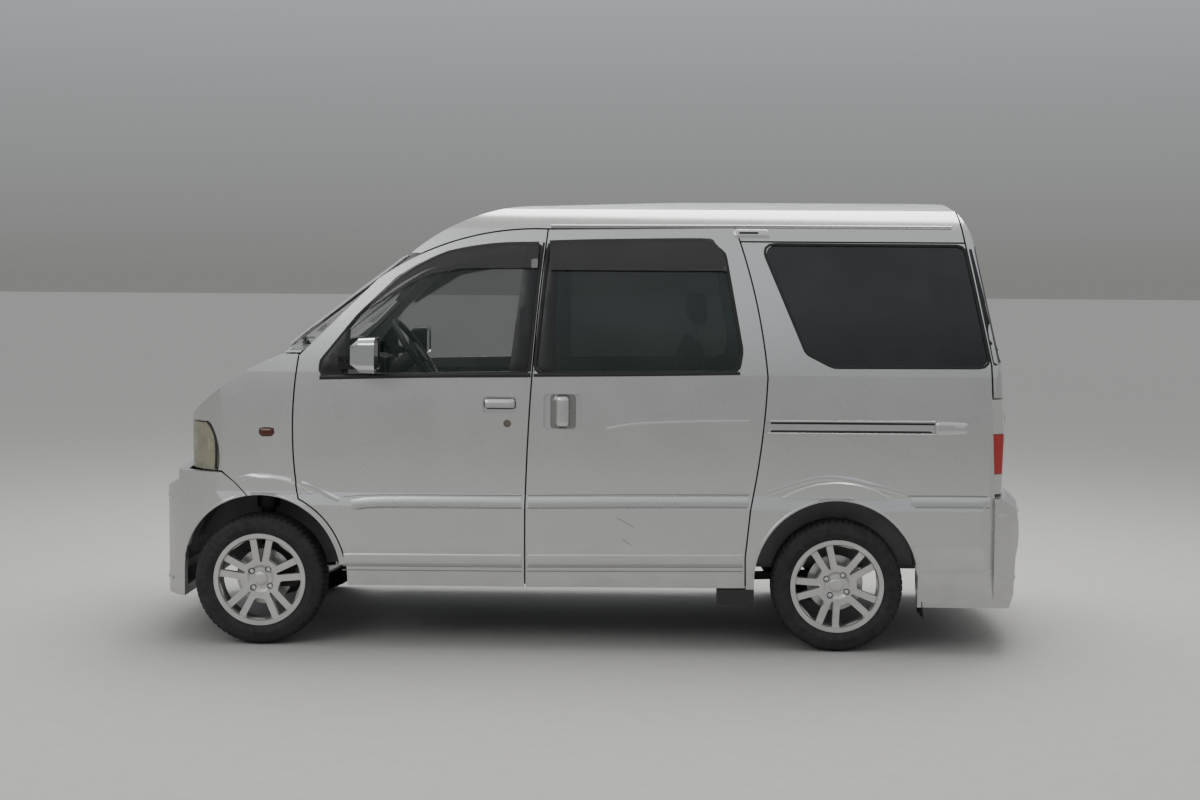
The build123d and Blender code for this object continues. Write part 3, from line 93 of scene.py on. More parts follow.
class Nodes:
    """A material's node tree with short calls."""

    def __init__(self, name):
        self.material = bpy.data.materials.new(name)
        self.material.use_nodes = True
        self.tree = self.material.node_tree
        self.shader = self.tree.nodes["Principled BSDF"]
        self.place = self.add("ShaderNodeTexCoord").outputs["Object"]

    def add(self, kind, **settings):
        node = self.tree.nodes.new(kind)
        for key, value in settings.items():
            if hasattr(node, key):
                setattr(node, key, value)
            else:
                node.inputs[key.replace("_", " ")].default_value = value
        return node

    def link(self, out, to):
        self.tree.links.new(out, to)

    def set(self, **values):
        for key, value in values.items():
            self.shader.inputs[key.replace("_", " ")].default_value = value

    def noise(self, scale, detail=4.0, roughness=0.55, stretch=(1, 1, 1)):
        mapping = self.add("ShaderNodeMapping")
        mapping.inputs["Scale"].default_value = stretch
        self.link(self.place, mapping.inputs["Vector"])
        node = self.add("ShaderNodeTexNoise", Scale=scale, Detail=detail, Roughness=roughness)
        self.link(mapping.outputs["Vector"], node.inputs["Vector"])
        return node.outputs["Fac"]

    def ramp(self, value, *stops):
        node = self.add("ShaderNodeValToRGB")
        self.link(value, node.inputs["Fac"])
        while len(node.color_ramp.elements) < len(stops):
            node.color_ramp.elements.new(0.5)
        for element, (position, colour) in zip(node.color_ramp.elements, stops):
            element.position = position
            element.color = colour
        return node.outputs["Color"]

    def grey(self, value, low, high, start=0.3, end=0.7):
        node = self.add("ShaderNodeMapRange")
        for key, number in (("From Min", start), ("From Max", end), ("To Min", low), ("To Max", high)):
            node.inputs[key].default_value = number
        self.link(value, node.inputs["Value"])
        return node.outputs["Result"]

    def feed(self, value, socket):
        """Links another node's socket, or sets a plain value."""
        if hasattr(value, "is_linked"):
            self.link(value, socket)
        else:
            socket.default_value = value

    def mix(self, factor, a, b):
        node = self.add("ShaderNodeMix", data_type="RGBA")
        for value, socket in ((factor, node.inputs[0]), (a, node.inputs[6]), (b, node.inputs[7])):
            self.feed(value, socket)
        return node.outputs[2]

    def calculate(self, operation, *values):
        node = self.add("ShaderNodeMath", operation=operation)
        for value, socket in zip(values, node.inputs):
            self.feed(value, socket)
        return node.outputs[0]

    def axis(self, letter):
        """A place's X, Y or Z."""
        node = self.add("ShaderNodeSeparateXYZ")
        self.link(self.place, node.inputs[0])
        return node.outputs[letter]

    def colour(self, socket):
        self.link(socket, self.shader.inputs["Base Color"])

    def rough(self, socket):
        self.link(socket, self.shader.inputs["Roughness"])

    def bump(self, value, strength, distance):
        node = self.add("ShaderNodeBump", Strength=strength, Distance=distance)
        self.link(value, node.inputs["Height"])
        self.link(node.outputs["Normal"], self.shader.inputs["Normal"])


# The quarter panel's low front corner, which the photograph doesn't show, is painted near-black as shade under
# the sliding door up to here
SHADE_CORNER_END_X = 0.712
# The mirror's chromed housing starts this far out
HOUSING_Y = 0.803
BLEND = 0.002


def paint_material(name, tone, metal, dust_top, painted_shade_corner=False):
    """Silver metallic paint with fine flake, a faint drift of tone and road dust low down; if asked, a low
    corner painted near-black as shade.
    """
    m = Nodes(name)
    m.set(Metallic=metal, Coat_Weight=0.5, Coat_Roughness=0.04, IOR=1.5)
    flake = m.ramp(m.noise(2600, 1.0), (0.35, rgb(*(0.90 * c for c in tone))), (0.65, rgb(*tone)))
    drift = m.grey(m.noise(1.1, 2.0), 0.0, 0.05)
    base = m.mix(drift, flake, rgb(0.40, 0.40, 0.38))
    low = m.grey(m.axis("Z"), 0.45, 0.0, 0.18, dust_top)
    dirt = m.calculate("MULTIPLY", low, m.grey(m.noise(7, 6.0, 0.65, (1, 1, 2.0)), 0.15, 0.8, 0.35, 0.75))
    colour = m.mix(dirt, base, rgb(0.30, 0.28, 0.25))
    # Painted shade: under the sill and ahead of the rear arch the paint turns near-black and loses its metal,
    # standing for the shade under the sliding door
    if painted_shade_corner:
        under_sill = m.grey(m.axis("Z"), 1.0, 0.0, SILL_Z, SILL_Z + BLEND)
        before_arch = m.grey(m.axis("X"), 1.0, 0.0, SHADE_CORNER_END_X, SHADE_CORNER_END_X + BLEND)
        corner = m.calculate("MULTIPLY", under_sill, before_arch)
        colour = m.mix(corner, colour, rgb(0.008, 0.008, 0.008))
        m.link(m.grey(corner, metal, 0.0, 0.0, 1.0), m.shader.inputs["Metallic"])
    m.colour(colour)
    m.rough(m.calculate("ADD", m.grey(m.noise(5, 3.0), 0.25, 0.30), dirt))
    m.bump(m.noise(900, 2.0), 0.04, 0.0001)
    return m.material


def glass_material(name, tint, alpha):
    """Car glass: see-through by its tint, with faint dust and water marks."""
    m = Nodes(name)
    m.set(Metallic=0.0, IOR=1.52, Coat_Weight=0.5, Coat_Roughness=0.02)
    dust = m.grey(m.noise(3, 4.0, 0.55, (1, 1, 1.6)), 0.0, 0.035, 0.45, 0.8)
    m.colour(m.mix(dust, rgb(*tint), rgb(0.42, 0.42, 0.40)))
    m.rough(m.grey(m.noise(14, 4.0), 0.01, 0.06))
    m.link(m.calculate("ADD", dust, alpha), m.shader.inputs["Alpha"])
    return m.material


def plain_material(name, tone, rough, metal=0.0, grain=400, depth=0.0003, vary=0.15, strength=0.35):
    """A moulded, cast or rolled surface: fine grain, slight colour change and uneven gloss."""
    m = Nodes(name)
    m.set(Metallic=metal)
    dark = rgb(*(c * (1 - vary) for c in tone))
    m.colour(m.ramp(m.noise(12, 5.0), (0.3, dark), (0.7, rgb(*tone))))
    m.rough(m.grey(m.noise(18, 4.0), max(0.02, rough - 0.08), min(1.0, rough + 0.08)))
    m.bump(m.noise(grain, 3.0), strength, depth)
    return m.material


def mirror_material(name):
    """Chromed housing; its foot and arm, nearer the door, are black plastic."""
    m = Nodes(name)
    m.set(IOR=1.5)
    outward = m.calculate("ABSOLUTE", m.axis("Y"))
    housing = m.grey(outward, 0.0, 1.0, HOUSING_Y, HOUSING_Y + BLEND)
    m.colour(m.mix(housing, rgb(0.010, 0.010, 0.010), rgb(0.66, 0.67, 0.68)))
    m.link(housing, m.shader.inputs["Metallic"])
    m.rough(m.grey(m.noise(18, 3.0), 0.05, 0.14))
    return m.material


def tail_lamp_material(name):
    """A lens in three bands by height: clear, red, and clear again at the foot."""
    m = Nodes(name)
    m.set(Metallic=0.0, IOR=1.5, Coat_Weight=0.6, Coat_Roughness=0.03)
    clear, red, line = rgb(0.46, 0.45, 0.42), rgb(0.36, 0.010, 0.010), rgb(0.10, 0.02, 0.02)
    share = m.grey(m.axis("Z"), 0.0, 1.0, 0.66, 1.08)
    stops = (
        (0.0, clear), (0.225, clear), (0.232, line), (0.240, red), (0.620, red), (0.627, line), (0.634, clear)
    )
    m.colour(m.ramp(share, *stops))
    m.rough(m.grey(m.noise(24, 4.0), 0.10, 0.20))
    flutes = m.add("ShaderNodeTexWave", bands_direction="Z", Scale=26.0, Distortion=0.0)
    m.link(m.place, flutes.inputs["Vector"])
    m.bump(flutes.outputs["Fac"], 0.35, 0.0015)
    return m.material


def cloth_material(name, tone, second):
    """Woven seat cloth: crossed threads, fine fuzz and a faint second colour."""
    m = Nodes(name)
    m.set(Roughness=0.92, Sheen_Weight=0.25, Sheen_Roughness=0.5)
    threads = []
    for direction in ("X", "Z"):
        wave = m.add("ShaderNodeTexWave", bands_direction=direction, Scale=210.0, Distortion=0.6)
        m.link(m.place, wave.inputs["Vector"])
        threads.append(wave.outputs["Fac"])
    weave = m.calculate("MULTIPLY", *threads)
    fuzz = m.mix(m.grey(m.noise(70, 5.0), 0.0, 0.6), rgb(*tone), rgb(*second))
    m.colour(m.mix(m.grey(weave, 0.0, 0.35, 0.0, 1.0), fuzz, rgb(*(1.5 * c for c in second))))
    m.bump(weave, 0.5, 0.0006)
    return m.material


def tyre_material():
    m = Nodes("tyre_rubber")
    m.set(Metallic=0.0)
    dusty = m.grey(m.noise(16, 6.0, 0.7), 0.0, 0.45, 0.4, 0.75)
    m.colour(m.mix(dusty, rgb(0.016, 0.016, 0.017), rgb(0.055, 0.050, 0.045)))
    m.rough(m.grey(m.noise(40, 4.0), 0.70, 0.92))
    m.bump(m.noise(320, 4.0), 0.4, 0.0004)
    return m.material


SILVER = (0.63, 0.63, 0.615)
MATS = {
    "visor_smoke": glass_material("visor_smoke", (0.030, 0.027, 0.026), 0.62),
    "paint": paint_material("silver_paint", SILVER, 0.84, 0.60),
    "bumper_paint": paint_material("silver_bumper", (0.605, 0.60, 0.58), 0.78, 0.50),
    "shell_paint": plain_material("inner_paint", (0.20, 0.20, 0.20), 0.5, 0.2, 60, 0.0004),
    "glass_clear": glass_material("glass_clear", (0.016, 0.034, 0.024), 0.24),
    "glass_green": glass_material("glass_green", (0.004, 0.013, 0.008), 0.62),
    "glass_dark": glass_material("glass_dark", (0.002, 0.004, 0.004), 0.84),
    "trim_dark": plain_material("black_trim", (0.009, 0.009, 0.009), 0.38),
    "rubber": plain_material("seal_rubber", (0.010, 0.010, 0.010), 0.62, 0.0, 500, 0.0002),
    "dash_grey": plain_material("dash_plastic", (0.060, 0.060, 0.063), 0.62, 0.0, 700, 0.0005),
    "seat_cloth": cloth_material("seat_cloth", (0.055, 0.057, 0.062), (0.105, 0.107, 0.112)),
    "cast_dark": plain_material("cast_iron", (0.055, 0.050, 0.046), 0.68, 0.6, 90, 0.0008),
    "steel_black": plain_material("chassis_black", (0.020, 0.019, 0.018), 0.55, 0.2, 70, 0.0006),
    "steel_bare": plain_material("exhaust_steel", (0.23, 0.20, 0.17), 0.46, 0.8, 50, 0.0006, 0.4),
    "alloy": plain_material("wheel_alloy", (0.62, 0.61, 0.59), 0.33, 0.75, 260, 0.0002),
    "chrome_trim": plain_material("chrome", (0.80, 0.80, 0.80), 0.10, 1.0, 30, 0.0001, 0.05, 0.1),
    "mirror_glass": plain_material("mirror_glass", (0.85, 0.88, 0.88), 0.05, 1.0, 20, 0.0001, 0.03, 0.05),
    "lamp_red": tail_lamp_material("lens_red"),
    "headliner": plain_material("headliner", (0.30, 0.295, 0.28), 0.9, 0.0, 900, 0.0004),
    "carpet": plain_material("floor_carpet", (0.040, 0.040, 0.042), 0.95, 0.0, 600, 0.0012, 0.3, 0.6),
    "lamp_amber": plain_material("lens_amber", (0.085, 0.022, 0.008), 0.15, 0.0, 200, 0.0002),
    "tyre": tyre_material(),
    # the quarter panel's paint, its low front corner painted near-black as shade
    "quarter_shaded_paint": paint_material("silver_paint_quarter_shaded", SILVER, 0.84, 0.60, painted_shade_corner=True),
    "mirror_shell": mirror_material("mirror_shell"),
    # a darker copy of the silver paint, laid on as painted shade in creases and recesses
    "crease": paint_material("silver_painted_shade", (0.26, 0.26, 0.25), 0.60, 0.60),
    "lamp_clear": glass_material("lens_clear", (0.52, 0.50, 0.36), 0.42),
}

slot_of = {row["node"]: row["material_slot"] for row in frame["record"]["subparts"]}
OWN_MATERIAL = {
    "door_mirror_left": "mirror_shell",
    "door_mirror_right": "mirror_shell",
    "quarter_panels": "quarter_shaded_paint",
}
for node_name, node in NODES.items():
    material = MATS[OWN_MATERIAL.get(node_name, slot_of[node_name])]
    node.data.materials.clear()
    node.data.materials.append(material)


# Draping: trims are drawn in a flat view and laid onto the CAD's own surface
VIEWS = {
    # view: (axis across, axis up, ray start, ray direction)
    "side": (0, 2, Vector((0, -3, 0)), Vector((0, 1, 0))),
    "front": (1, 2, Vector((-4, 0, 0)), Vector((1, 0, 0))),
    "rear": (1, 2, Vector((4, 0, 0)), Vector((-1, 0, 0))),
    "inside": (0, 2, Vector((0, 0, 0)), Vector((0, -1, 0))),
    "top": (0, 1, Vector((0, 0, 4)), Vector((0, 0, -1))),
    "up": (0, 1, Vector((0, 0, 0.9)), Vector((0, 0, 1))),
}


body_of = {node: body for body, names in frame["record"]["behaviour"]["bodies"].items() for node in names}


class Surface:
    """The face of some CAD nodes, seen from one side; what lies on it rides with the first one's body."""

    def __init__(self, view, *names, reach=2.95):
        self.across, self.up, self.start, self.way = VIEWS[view]
        self.reach = reach
        self.body = body_of[names[0]]
        self.sided = view in ("side", "inside")
        verts, polygons = [], []
        for name in names:
            mesh = NODES[name].data
            first = len(verts)
            verts += [v.co.copy() for v in mesh.vertices]
            polygons += [[first + i for i in poly.vertices] for poly in mesh.polygons]
        self.tree = BVHTree.FromPolygons(verts, polygons)

    def touch(self, a, b):
        origin = self.start.copy()
        origin[self.across], origin[self.up] = a, b
        return self.tree.ray_cast(origin, self.way, self.reach)[0]

    def point(self, a, b):
        """The surface point and its smoothed normal; a miss borrows the nearest hit."""
        hit = self.touch(a, b)
        step = 0.004
        tries = 0
        while hit is None and tries < 15:
            tries += 1
            for da, db in ((step, 0), (-step, 0), (0, step), (0, -step)):
                hit = self.touch(a + tries * da, b + tries * db)
                if hit is not None:
                    hit = hit.copy()
                    hit[self.across], hit[self.up] = a, b
                    break
        if hit is None:
            raise ValueError(f"no surface near {a:.3f}, {b:.3f}")
        reach = 0.012
        spots = [self.touch(a + da, b + db) for da, db in ((reach, 0), (-reach, 0), (0, reach), (0, -reach))]
        ends = [spot if spot is not None and (spot - hit).length < 3 * reach else None for spot in spots]
        run = (ends[0] or hit) - (ends[1] or hit)
        rise = (ends[2] or hit) - (ends[3] or hit)
        normal = run.cross(rise)
        if normal.length < 1e-9:
            return hit, -self.way
        normal.normalize()
        if normal.dot(self.way) > 0:
            normal = -normal
        return hit, normal


def rounded(points, radius, arc_steps=6):
    """A closed outline with its corners rounded; a radius may be given with each point."""
    ring = []
    count = len(points)
    for i, point in enumerate(points):
        here = Vector(point[:2])
        reach = point[2] if len(point) > 2 else radius
        before = Vector(points[i - 1][:2]) - here
        after = Vector(points[(i + 1) % count][:2]) - here
        turn = before.angle(after)
        cut = min(reach / math.tan(turn / 2), before.length * 0.49, after.length * 0.49)
        start, end = here + before.normalized() * cut, here + after.normalized() * cut
        for step in range(arc_steps + 1):
            t = step / arc_steps
            ring.append(start * (1 - t) ** 2 + here * 2 * t * (1 - t) + end * t * t)
    return ring


def curve_through(points, steps=10):
    """A smooth open line through points (Catmull-Rom)."""
    spots = [Vector(p) for p in points]
    spots = [2 * spots[0] - spots[1], *spots, 2 * spots[-1] - spots[-2]]
    line = []
    for a, b, c, d in zip(spots, spots[1:], spots[2:], spots[3:]):
        for step in range(steps):
            t = step / steps
            line.append(
                0.5 * (
                    2 * b + (c - a) * t + (2 * a - 5 * b + 4 * c - d) * t**2 + (3 * b - a - 3 * c + d) * t**3
                )
            )
    line.append(spots[-2])
    return line


def spaced(line, step, closed=False):
    """Points at even steps along a line."""
    points = [Vector(p) for p in line]
    if closed:
        points.append(points[0])
    lengths = [0.0]
    for a, b in zip(points, points[1:]):
        lengths.append(lengths[-1] + (b - a).length)
    count = max(2, round(lengths[-1] / step))
    result, j = [], 0
    for i in range(count + (0 if closed else 1)):
        want = lengths[-1] * i / count
        while j < len(lengths) - 2 and lengths[j + 1] < want:
            j += 1
        span = lengths[j + 1] - lengths[j]
        t = (want - lengths[j]) / span if span else 0
        result.append(points[j].lerp(points[j + 1], t))
    return result


def rect(x0, z0, x1, z1):
    """A rectangle's four corners."""
    return [(x0, z0), (x1, z0), (x1, z1), (x0, z1)]


MIRRORED = {"door_left": "door_right", "knuckle_left": "knuckle_right"}
SHARP_ANGLE = math.radians(38)


def piece(name, verts, faces, material, body, both=False):
    """Makes a piece that rides on a body, and its mirror image on the right if asked."""
    mesh = bpy.data.meshes.new(name)
    mesh.from_pydata([tuple(v) for v in verts], [], faces)
    mesh.validate()
    mesh.update()
    mesh.materials.append(MATS[material])
    mesh.shade_smooth()
    mesh.set_sharp_from_angle(angle=SHARP_ANGLE)
    made = bpy.data.objects.new(name, mesh)
    bpy.context.scene.collection.objects.link(made)
    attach(made, body)
    if both:
        flipped = [Vector((v[0], -v[1], v[2])) for v in verts]
        turned = [tuple(reversed(face)) for face in faces]
        piece(f"{name}_right", flipped, turned, material, MIRRORED.get(body, body))
    return made


def ring_faces(count, rings, looped=False):
    """The faces between closed rings of points, each ring with the same count."""
    faces = []
    for ring in range(rings if looped else rings - 1):
        a, b = ring * count, (ring + 1) % rings * count
        faces += [(a + i, a + (i + 1) % count, b + (i + 1) % count, b + i) for i in range(count)]
    return faces


def inset_ring(ring, depth):
    """A closed outline moved inward by a depth."""
    area = sum(a.x * b.y - b.x * a.y for a, b in zip(ring, ring[1:] + ring[:1]))
    sign = 1 if area > 0 else -1
    moved = []
    for before, here, after in zip(ring[-1:] + ring[:-1], ring, ring[1:] + ring[:1]):
        way = (after - before).normalized()
        moved.append(here + Vector((-way.y, way.x)) * depth * sign)
    return moved


SUNK = 0.0008  # how deep a laid-on piece reaches into its surface


def drape(name, ring, surface, material, thick=0.002, lift=0.0, edge=0.004, step=0.03):
    """A sheet of even thickness laid on a surface inside an outline, with a rolled edge."""
    ring = spaced(ring, min(step, 0.012), closed=True)
    inner = inset_ring(ring, edge)
    points = [*ring, *inner]
    n = len(ring)
    xs, ys = [p.x for p in ring], [p.y for p in ring]
    x = min(xs) + step / 2
    while x < max(xs):
        y = min(ys) + step / 2
        while y < max(ys):
            spot = Vector((x, y))
            near = min((spot - q).length for q in inner)
            if near > step * 0.45 and inside(spot, inner):
                points.append(spot)
            y += step
        x += step
    edges = [(i, (i + 1) % n) for i in range(n)] + [(n + i, n + (i + 1) % n) for i in range(n)]
    flat, _, triangles, *_ = geometry.delaunay_2d_cdt([Vector(p) for p in points], edges, [], 0, 1e-6)
    triangles = [t for t in triangles if inside(sum((flat[i] for i in t), Vector((0, 0))) / 3, ring)]
    tops, bottoms = [], []
    for spot in flat:
        base, normal = surface.point(spot.x, spot.y)
        rim = min((spot - q).length for q in ring)
        height = thick * min(1.0, 0.25 + 0.75 * rim / edge)
        tops.append(base + normal * (lift + height))
        bottoms.append(base + normal * (lift - SUNK))
    faces = []
    count = len(flat)
    for t in triangles:
        a, b, c = (tops[i] for i in t)
        if (b - a).cross(c - a).dot(surface.way) > 0:
            t = tuple(reversed(t))
        faces.append(tuple(t))
        faces.append(tuple(i + count for i in reversed(t)))
    border = {(i, j): None for face in faces for i, j in zip(face, face[1:] + face[:1])}
    for i, j in list(border):
        if (j, i) not in border and i < count and j < count:
            faces.append((j, i, i + count, j + count))
    return piece(name, tops + bottoms, faces, material, surface.body, surface.sided)


def inside(spot, ring):
    """True where a point lies inside a closed outline."""
    odd = False
    for a, b in zip(ring, ring[1:] + ring[:1]):
        if (a.y > spot.y) != (b.y > spot.y) and spot.x < (b.x - a.x) * (spot.y - a.y) / (b.y - a.y) + a.x:
            odd = not odd
    return odd


def bead(name, line, surface, material, width, height, closed=False, lift=0.0, step=0.02, both=None):
    """A half-round strip laid along a line on a surface."""
    line = spaced(line, step, closed)
    rows = 7
    verts = []
    count = len(line)
    spots = [surface.point(p.x, p.y) for p in line]
    for i, (base, normal) in enumerate(spots):
        before = spots[i - 1][0] if closed or i else base
        after = spots[(i + 1) % count][0] if closed or i < count - 1 else base
        way = (after - before).normalized()
        side = way.cross(normal).normalized()
        up = side.cross(way).normalized()
        if up.dot(normal) < 0:
            up = -up
        for row in range(rows):
            angle = math.pi * row / (rows - 1)
            rise = lift + height * math.sin(angle) ** 0.7 if 0 < row < rows - 1 else lift - SUNK
            verts.append(base + side * (math.cos(angle) * width / 2) + up * rise)
    faces = ring_faces(rows, count, closed)
    if not closed:
        faces.append(tuple(range(rows)))
        faces.append(tuple(reversed(range((count - 1) * rows, count * rows))))
    both = surface.sided if both is None else both
    return piece(name, verts, faces, material, surface.body, both)


# Surfaces of the left side, and the windscreen with what borders it
DOOR = Surface("side", "front_door_left")
SLIDER = Surface("side", "sliding_doors")
QUARTER = Surface("side", "quarter_panels", "roof")
FENDER = Surface("side", "front_fenders")
ROOF = Surface("side", "roof")
DOOR_FACE = Surface("side", "front_door_left", "front_door_glass_left")
SLIDER_FACE = Surface("side", "sliding_doors", "sliding_door_glass")
TAIL_SIDE = Surface("side", "tailgate", "rear_bumper")
BUMPER_SIDE = Surface("side", "front_bumper")
SCREEN = Surface("front", "windscreen", "cowl", "roof", reach=3.6)


def door_edge(z, gap=0.0):
    """The front door's rear edge in side view."""
    rise = z - 0.6
    return B_X + 0.02473 * rise + 0.04212 * rise * rise + gap


front_window = rounded(
    [
        (FRONT_X + 0.266, BELT_Z - 0.010),
        (FRONT_X + 0.272, upper(0.061)),
        (FRONT_X + 0.424, upper(0.316)),
        (FRONT_X + 0.590, upper(0.535)),
        (FRONT_X + 0.795, upper(0.676)),
        (FRONT_X + 0.983, upper(0.719)),
        (B_X + 0.060, upper(0.726)),
        (B_X + 0.012, BELT_Z + 0.009),
    ],
    0.022,
)
slider_window = rounded(
    [
        (B_X + 0.046, BELT_Z + 0.008),
        (B_X + 0.098, upper(0.734)),
        (C_X - 0.260, upper(0.751)),
        (C_X - 0.185, upper(0.68)),
        (C_X - 0.112, upper(0.137)),
        (C_X - 0.124, BELT_Z + 0.020),
    ],
    0.030,
)
quarter_window = rounded(
    [
        (C_X - 0.022, upper(0.73)),
        (SEAM_X - 0.112, upper(0.728)),
        (SEAM_X - 0.010, BELT_Z + 0.044),
        (C_X + 0.275, BELT_Z + 0.040),
        (C_X + 0.165, BELT_Z + 0.095),
    ],
    0.034,
)

# Window rubbers round the side glass, and the belt mouldings under it
WINDOWS = (
    # name, outline, surface, width of the rubber, how far its middle lies outside the outline
    ("front_window", front_window, DOOR, 0.013, 0.006),
    ("slider_window", slider_window, SLIDER, 0.015, 0.007),
    ("quarter_window", quarter_window, QUARTER, 0.012, 0.005),
)
for name, ring, surface, width, out in WINDOWS:
    ring = inset_ring(spaced(ring, 0.01, closed=True), -out)
    bead(f"{name}_rubber", ring, surface, "rubber", width, 0.0025, True)
belt = [
    (FRONT_X + 0.262, BELT_Z - 0.023), (FRONT_X + 0.7, BELT_Z - 0.012),
    (door_edge(BELT_Z, -0.003), BELT_Z - 0.006)
]
bead("front_belt_moulding", curve_through(belt), DOOR, "trim_dark", 0.020, 0.005)
belt = [(door_edge(BELT_Z, 0.010), BELT_Z - 0.007), (C_X - 0.5, BELT_Z), (C_X - 0.112, BELT_Z + 0.008)]
bead("slider_belt_moulding", curve_through(belt), SLIDER, "trim_dark", 0.014, 0.004)

# Black film on the pillars between the side windows
film_low, film_high = BELT_Z + 0.002, upper(0.742)
front_film = [
    (B_X + 0.018, film_low), (B_X + 0.022, BELT_Z + 0.1), (B_X + 0.042, upper(0.35)), (B_X + 0.066, film_high)
]
front_film += [(door_edge(z, -0.002), z) for z in (film_high, upper(0.5), upper(0.25), film_low)]
drape("front_pillar_film", rounded(front_film, 0.002), DOOR, "trim_dark", 0.0016, edge=0.002)
rear_film = [(door_edge(z, 0.0095), z) for z in (film_low, upper(0.25), upper(0.5), film_high)]
rear_film += [(B_X + 0.093, film_high), (B_X + 0.068, upper(0.4)), (B_X + 0.040, film_low)]
drape("slider_pillar_film", rounded(rear_film, 0.002), SLIDER, "trim_dark", 0.0016, edge=0.002)


def height_along(points):
    """The height of a broken line at a place along the car."""

    def height(x):
        for (x0, z0), (x1, z1) in zip(points, points[1:]):
            if x <= x1:
                return z0 + (z1 - z0) * max(0.0, (x - x0) / (x1 - x0))
        return points[-1][1]

    return height


PILLAR_IN = Surface("side", "body_frame", reach=3.2)
gap_seal = [(door_edge(z, 0.004), z) for z in (film_low - 0.02, upper(0.25), upper(0.5), film_high)]
bead("pillar_gap_seal", gap_seal, PILLAR_IN, "rubber", 0.030, 0.003)


# Smoked rain visors over the front and sliding windows
def visor(name, line, foot, surface):
    """A thin curved shade fixed along its upper edge, its lower edge standing off the glass."""
    stand = 0.013
    line = spaced(line, 0.02)
    rows, verts, faces = 6, [], []
    for p in line:
        up, _ = surface.point(p.x, p.y + 0.006)
        low, normal = surface.point(p.x, min(foot(p.x), p.y - 0.012))
        for side in (0.0, 0.0022):
            for row in range(rows):
                t = row / (rows - 1)
                spot = up.lerp(low, t)
                spot = spot + normal * (0.001 + side + stand * math.sin(t * math.pi / 2) * min(1, t * 2.2))
                verts.append(spot)
    for i in range(len(line) - 1):
        a, b = i * 2 * rows, (i + 1) * 2 * rows
        for row in range(rows - 1):
            faces.append((a + row, b + row, b + row + 1, a + row + 1))
            faces.append((a + rows + row, a + rows + row + 1, b + rows + row + 1, b + rows + row))
        faces.append((a, a + rows, b + rows, b))
        faces.append((a + rows - 1, b + rows - 1, b + 2 * rows - 1, a + 2 * rows - 1))
    last = (len(line) - 1) * 2 * rows
    for row in range(rows - 1):
        faces.append((row, row + 1, rows + row + 1, rows + row))
        faces.append((last + row, last + rows + row, last + rows + row + 1, last + row + 1))
    piece(name, verts, faces, "visor_smoke", surface.body, both=True)


front_shade = [
    (FRONT_X + 0.470, upper(0.385)), (FRONT_X + 0.590, upper(0.540)), (FRONT_X + 0.700, upper(0.628))
]
front_shade += [(FRONT_X + 0.820, upper(0.690)), (FRONT_X + 0.990, upper(0.727)), (B_X + 0.052, upper(0.736))]
front_foot = [
    (FRONT_X + 0.46, upper(0.345)), (FRONT_X + 0.70, upper(0.545)), (FRONT_X + 0.85, upper(0.585)),
    (B_X + 0.08, upper(0.592))
]
visor("front_visor", curve_through(front_shade), height_along(front_foot), DOOR_FACE)
slider_shade = [(B_X + 0.094, upper(0.743)), (B_X + 0.3, upper(0.752)), (C_X - 0.270, upper(0.760))]
slider_shade += [(C_X - 0.225, upper(0.740)), (C_X - 0.182, upper(0.672)), (C_X - 0.166, upper(0.590))]
visor("slider_visor", curve_through(slider_shade), lambda x: upper(0.580), SLIDER_FACE)

# Sail triangle at the mirror's foot
MIRROR = Surface("side", "door_mirror_left", "front_door_left")
sail = [(-1.118, 1.150), (-1.110, 1.207), (-0.9985, 1.357), (-0.9985, 1.150)]
drape("mirror_sail", rounded(sail, 0.004), MIRROR, "trim_dark", 0.0018)


def plate(name, outline, thick, matrix, material, body, dome=0.0, both=False):
    """A flat plate with a rolled edge, drawn in its own plane and set in place by a matrix."""
    outline = [Vector(p[:2]) for p in outline]
    count = len(outline)
    centre = sum(outline, Vector((0, 0))) / count
    rings = [(0.0, 0.0), (0.0, thick * 0.7), (0.0012, thick)]
    verts = []
    for inset, rise in rings:
        verts += [Vector((p.x, p.y, rise)) for p in inset_ring(outline, inset)]
    for share in (0.7, 0.35):
        verts += [
            Vector((*(centre + (p - centre) * share), thick + dome * (1 - share * share))) for p in outline
        ]
    verts.append(Vector((centre.x, centre.y, thick + dome)))
    faces = ring_faces(count, len(rings) + 2)
    last = (len(rings) + 1) * count
    faces += [(last + i, last + (i + 1) % count, len(verts) - 1) for i in range(count)]
    faces.append(tuple(reversed(range(count))))
    return piece(name, [matrix @ v for v in verts], faces, material, body, both=both)


def box_outline(width, height, radius):
    """A rounded rectangle about its own middle."""
    return rounded(rect(-width / 2, -height / 2, width / 2, height / 2), radius)


def placed(at, across, up):
    """A matrix that sets a plate's own X along one way, its Y along another, at a place."""
    across, up = Vector(across).normalized(), Vector(up).normalized()
    out = across.cross(up)
    return Matrix.Translation(Vector(at)) @ Matrix((across, up, out)).transposed().to_4x4()


# The mirror's glass
MIRROR_GLASS_AT = (FRONT_X + 0.5135, -HALF_W - 0.102, 1.236)
at = placed(MIRROR_GLASS_AT, (0, 1, 0), (0, 0, 1))
plate(
    "mirror_glass", box_outline(0.152, 0.130, 0.026), 0.003, at, "mirror_glass", "door_left", 0.001, both=True
)


def lathe(name, profile, matrix, material, body, turns=32, both=False):
    """A turned piece: profile points are (radius, height) from its foot up; few turns make it a prism."""
    verts = []
    for radius, height in profile:
        for i in range(turns):
            angle = 2 * math.pi * i / turns
            verts.append(matrix @ Vector((radius * math.cos(angle), radius * math.sin(angle), height)))
    faces = ring_faces(turns, len(profile))
    faces.append(tuple(reversed(range(turns))))
    faces.append(tuple(range((len(profile) - 1) * turns, len(profile) * turns)))
    return piece(name, verts, faces, material, body, both=both)


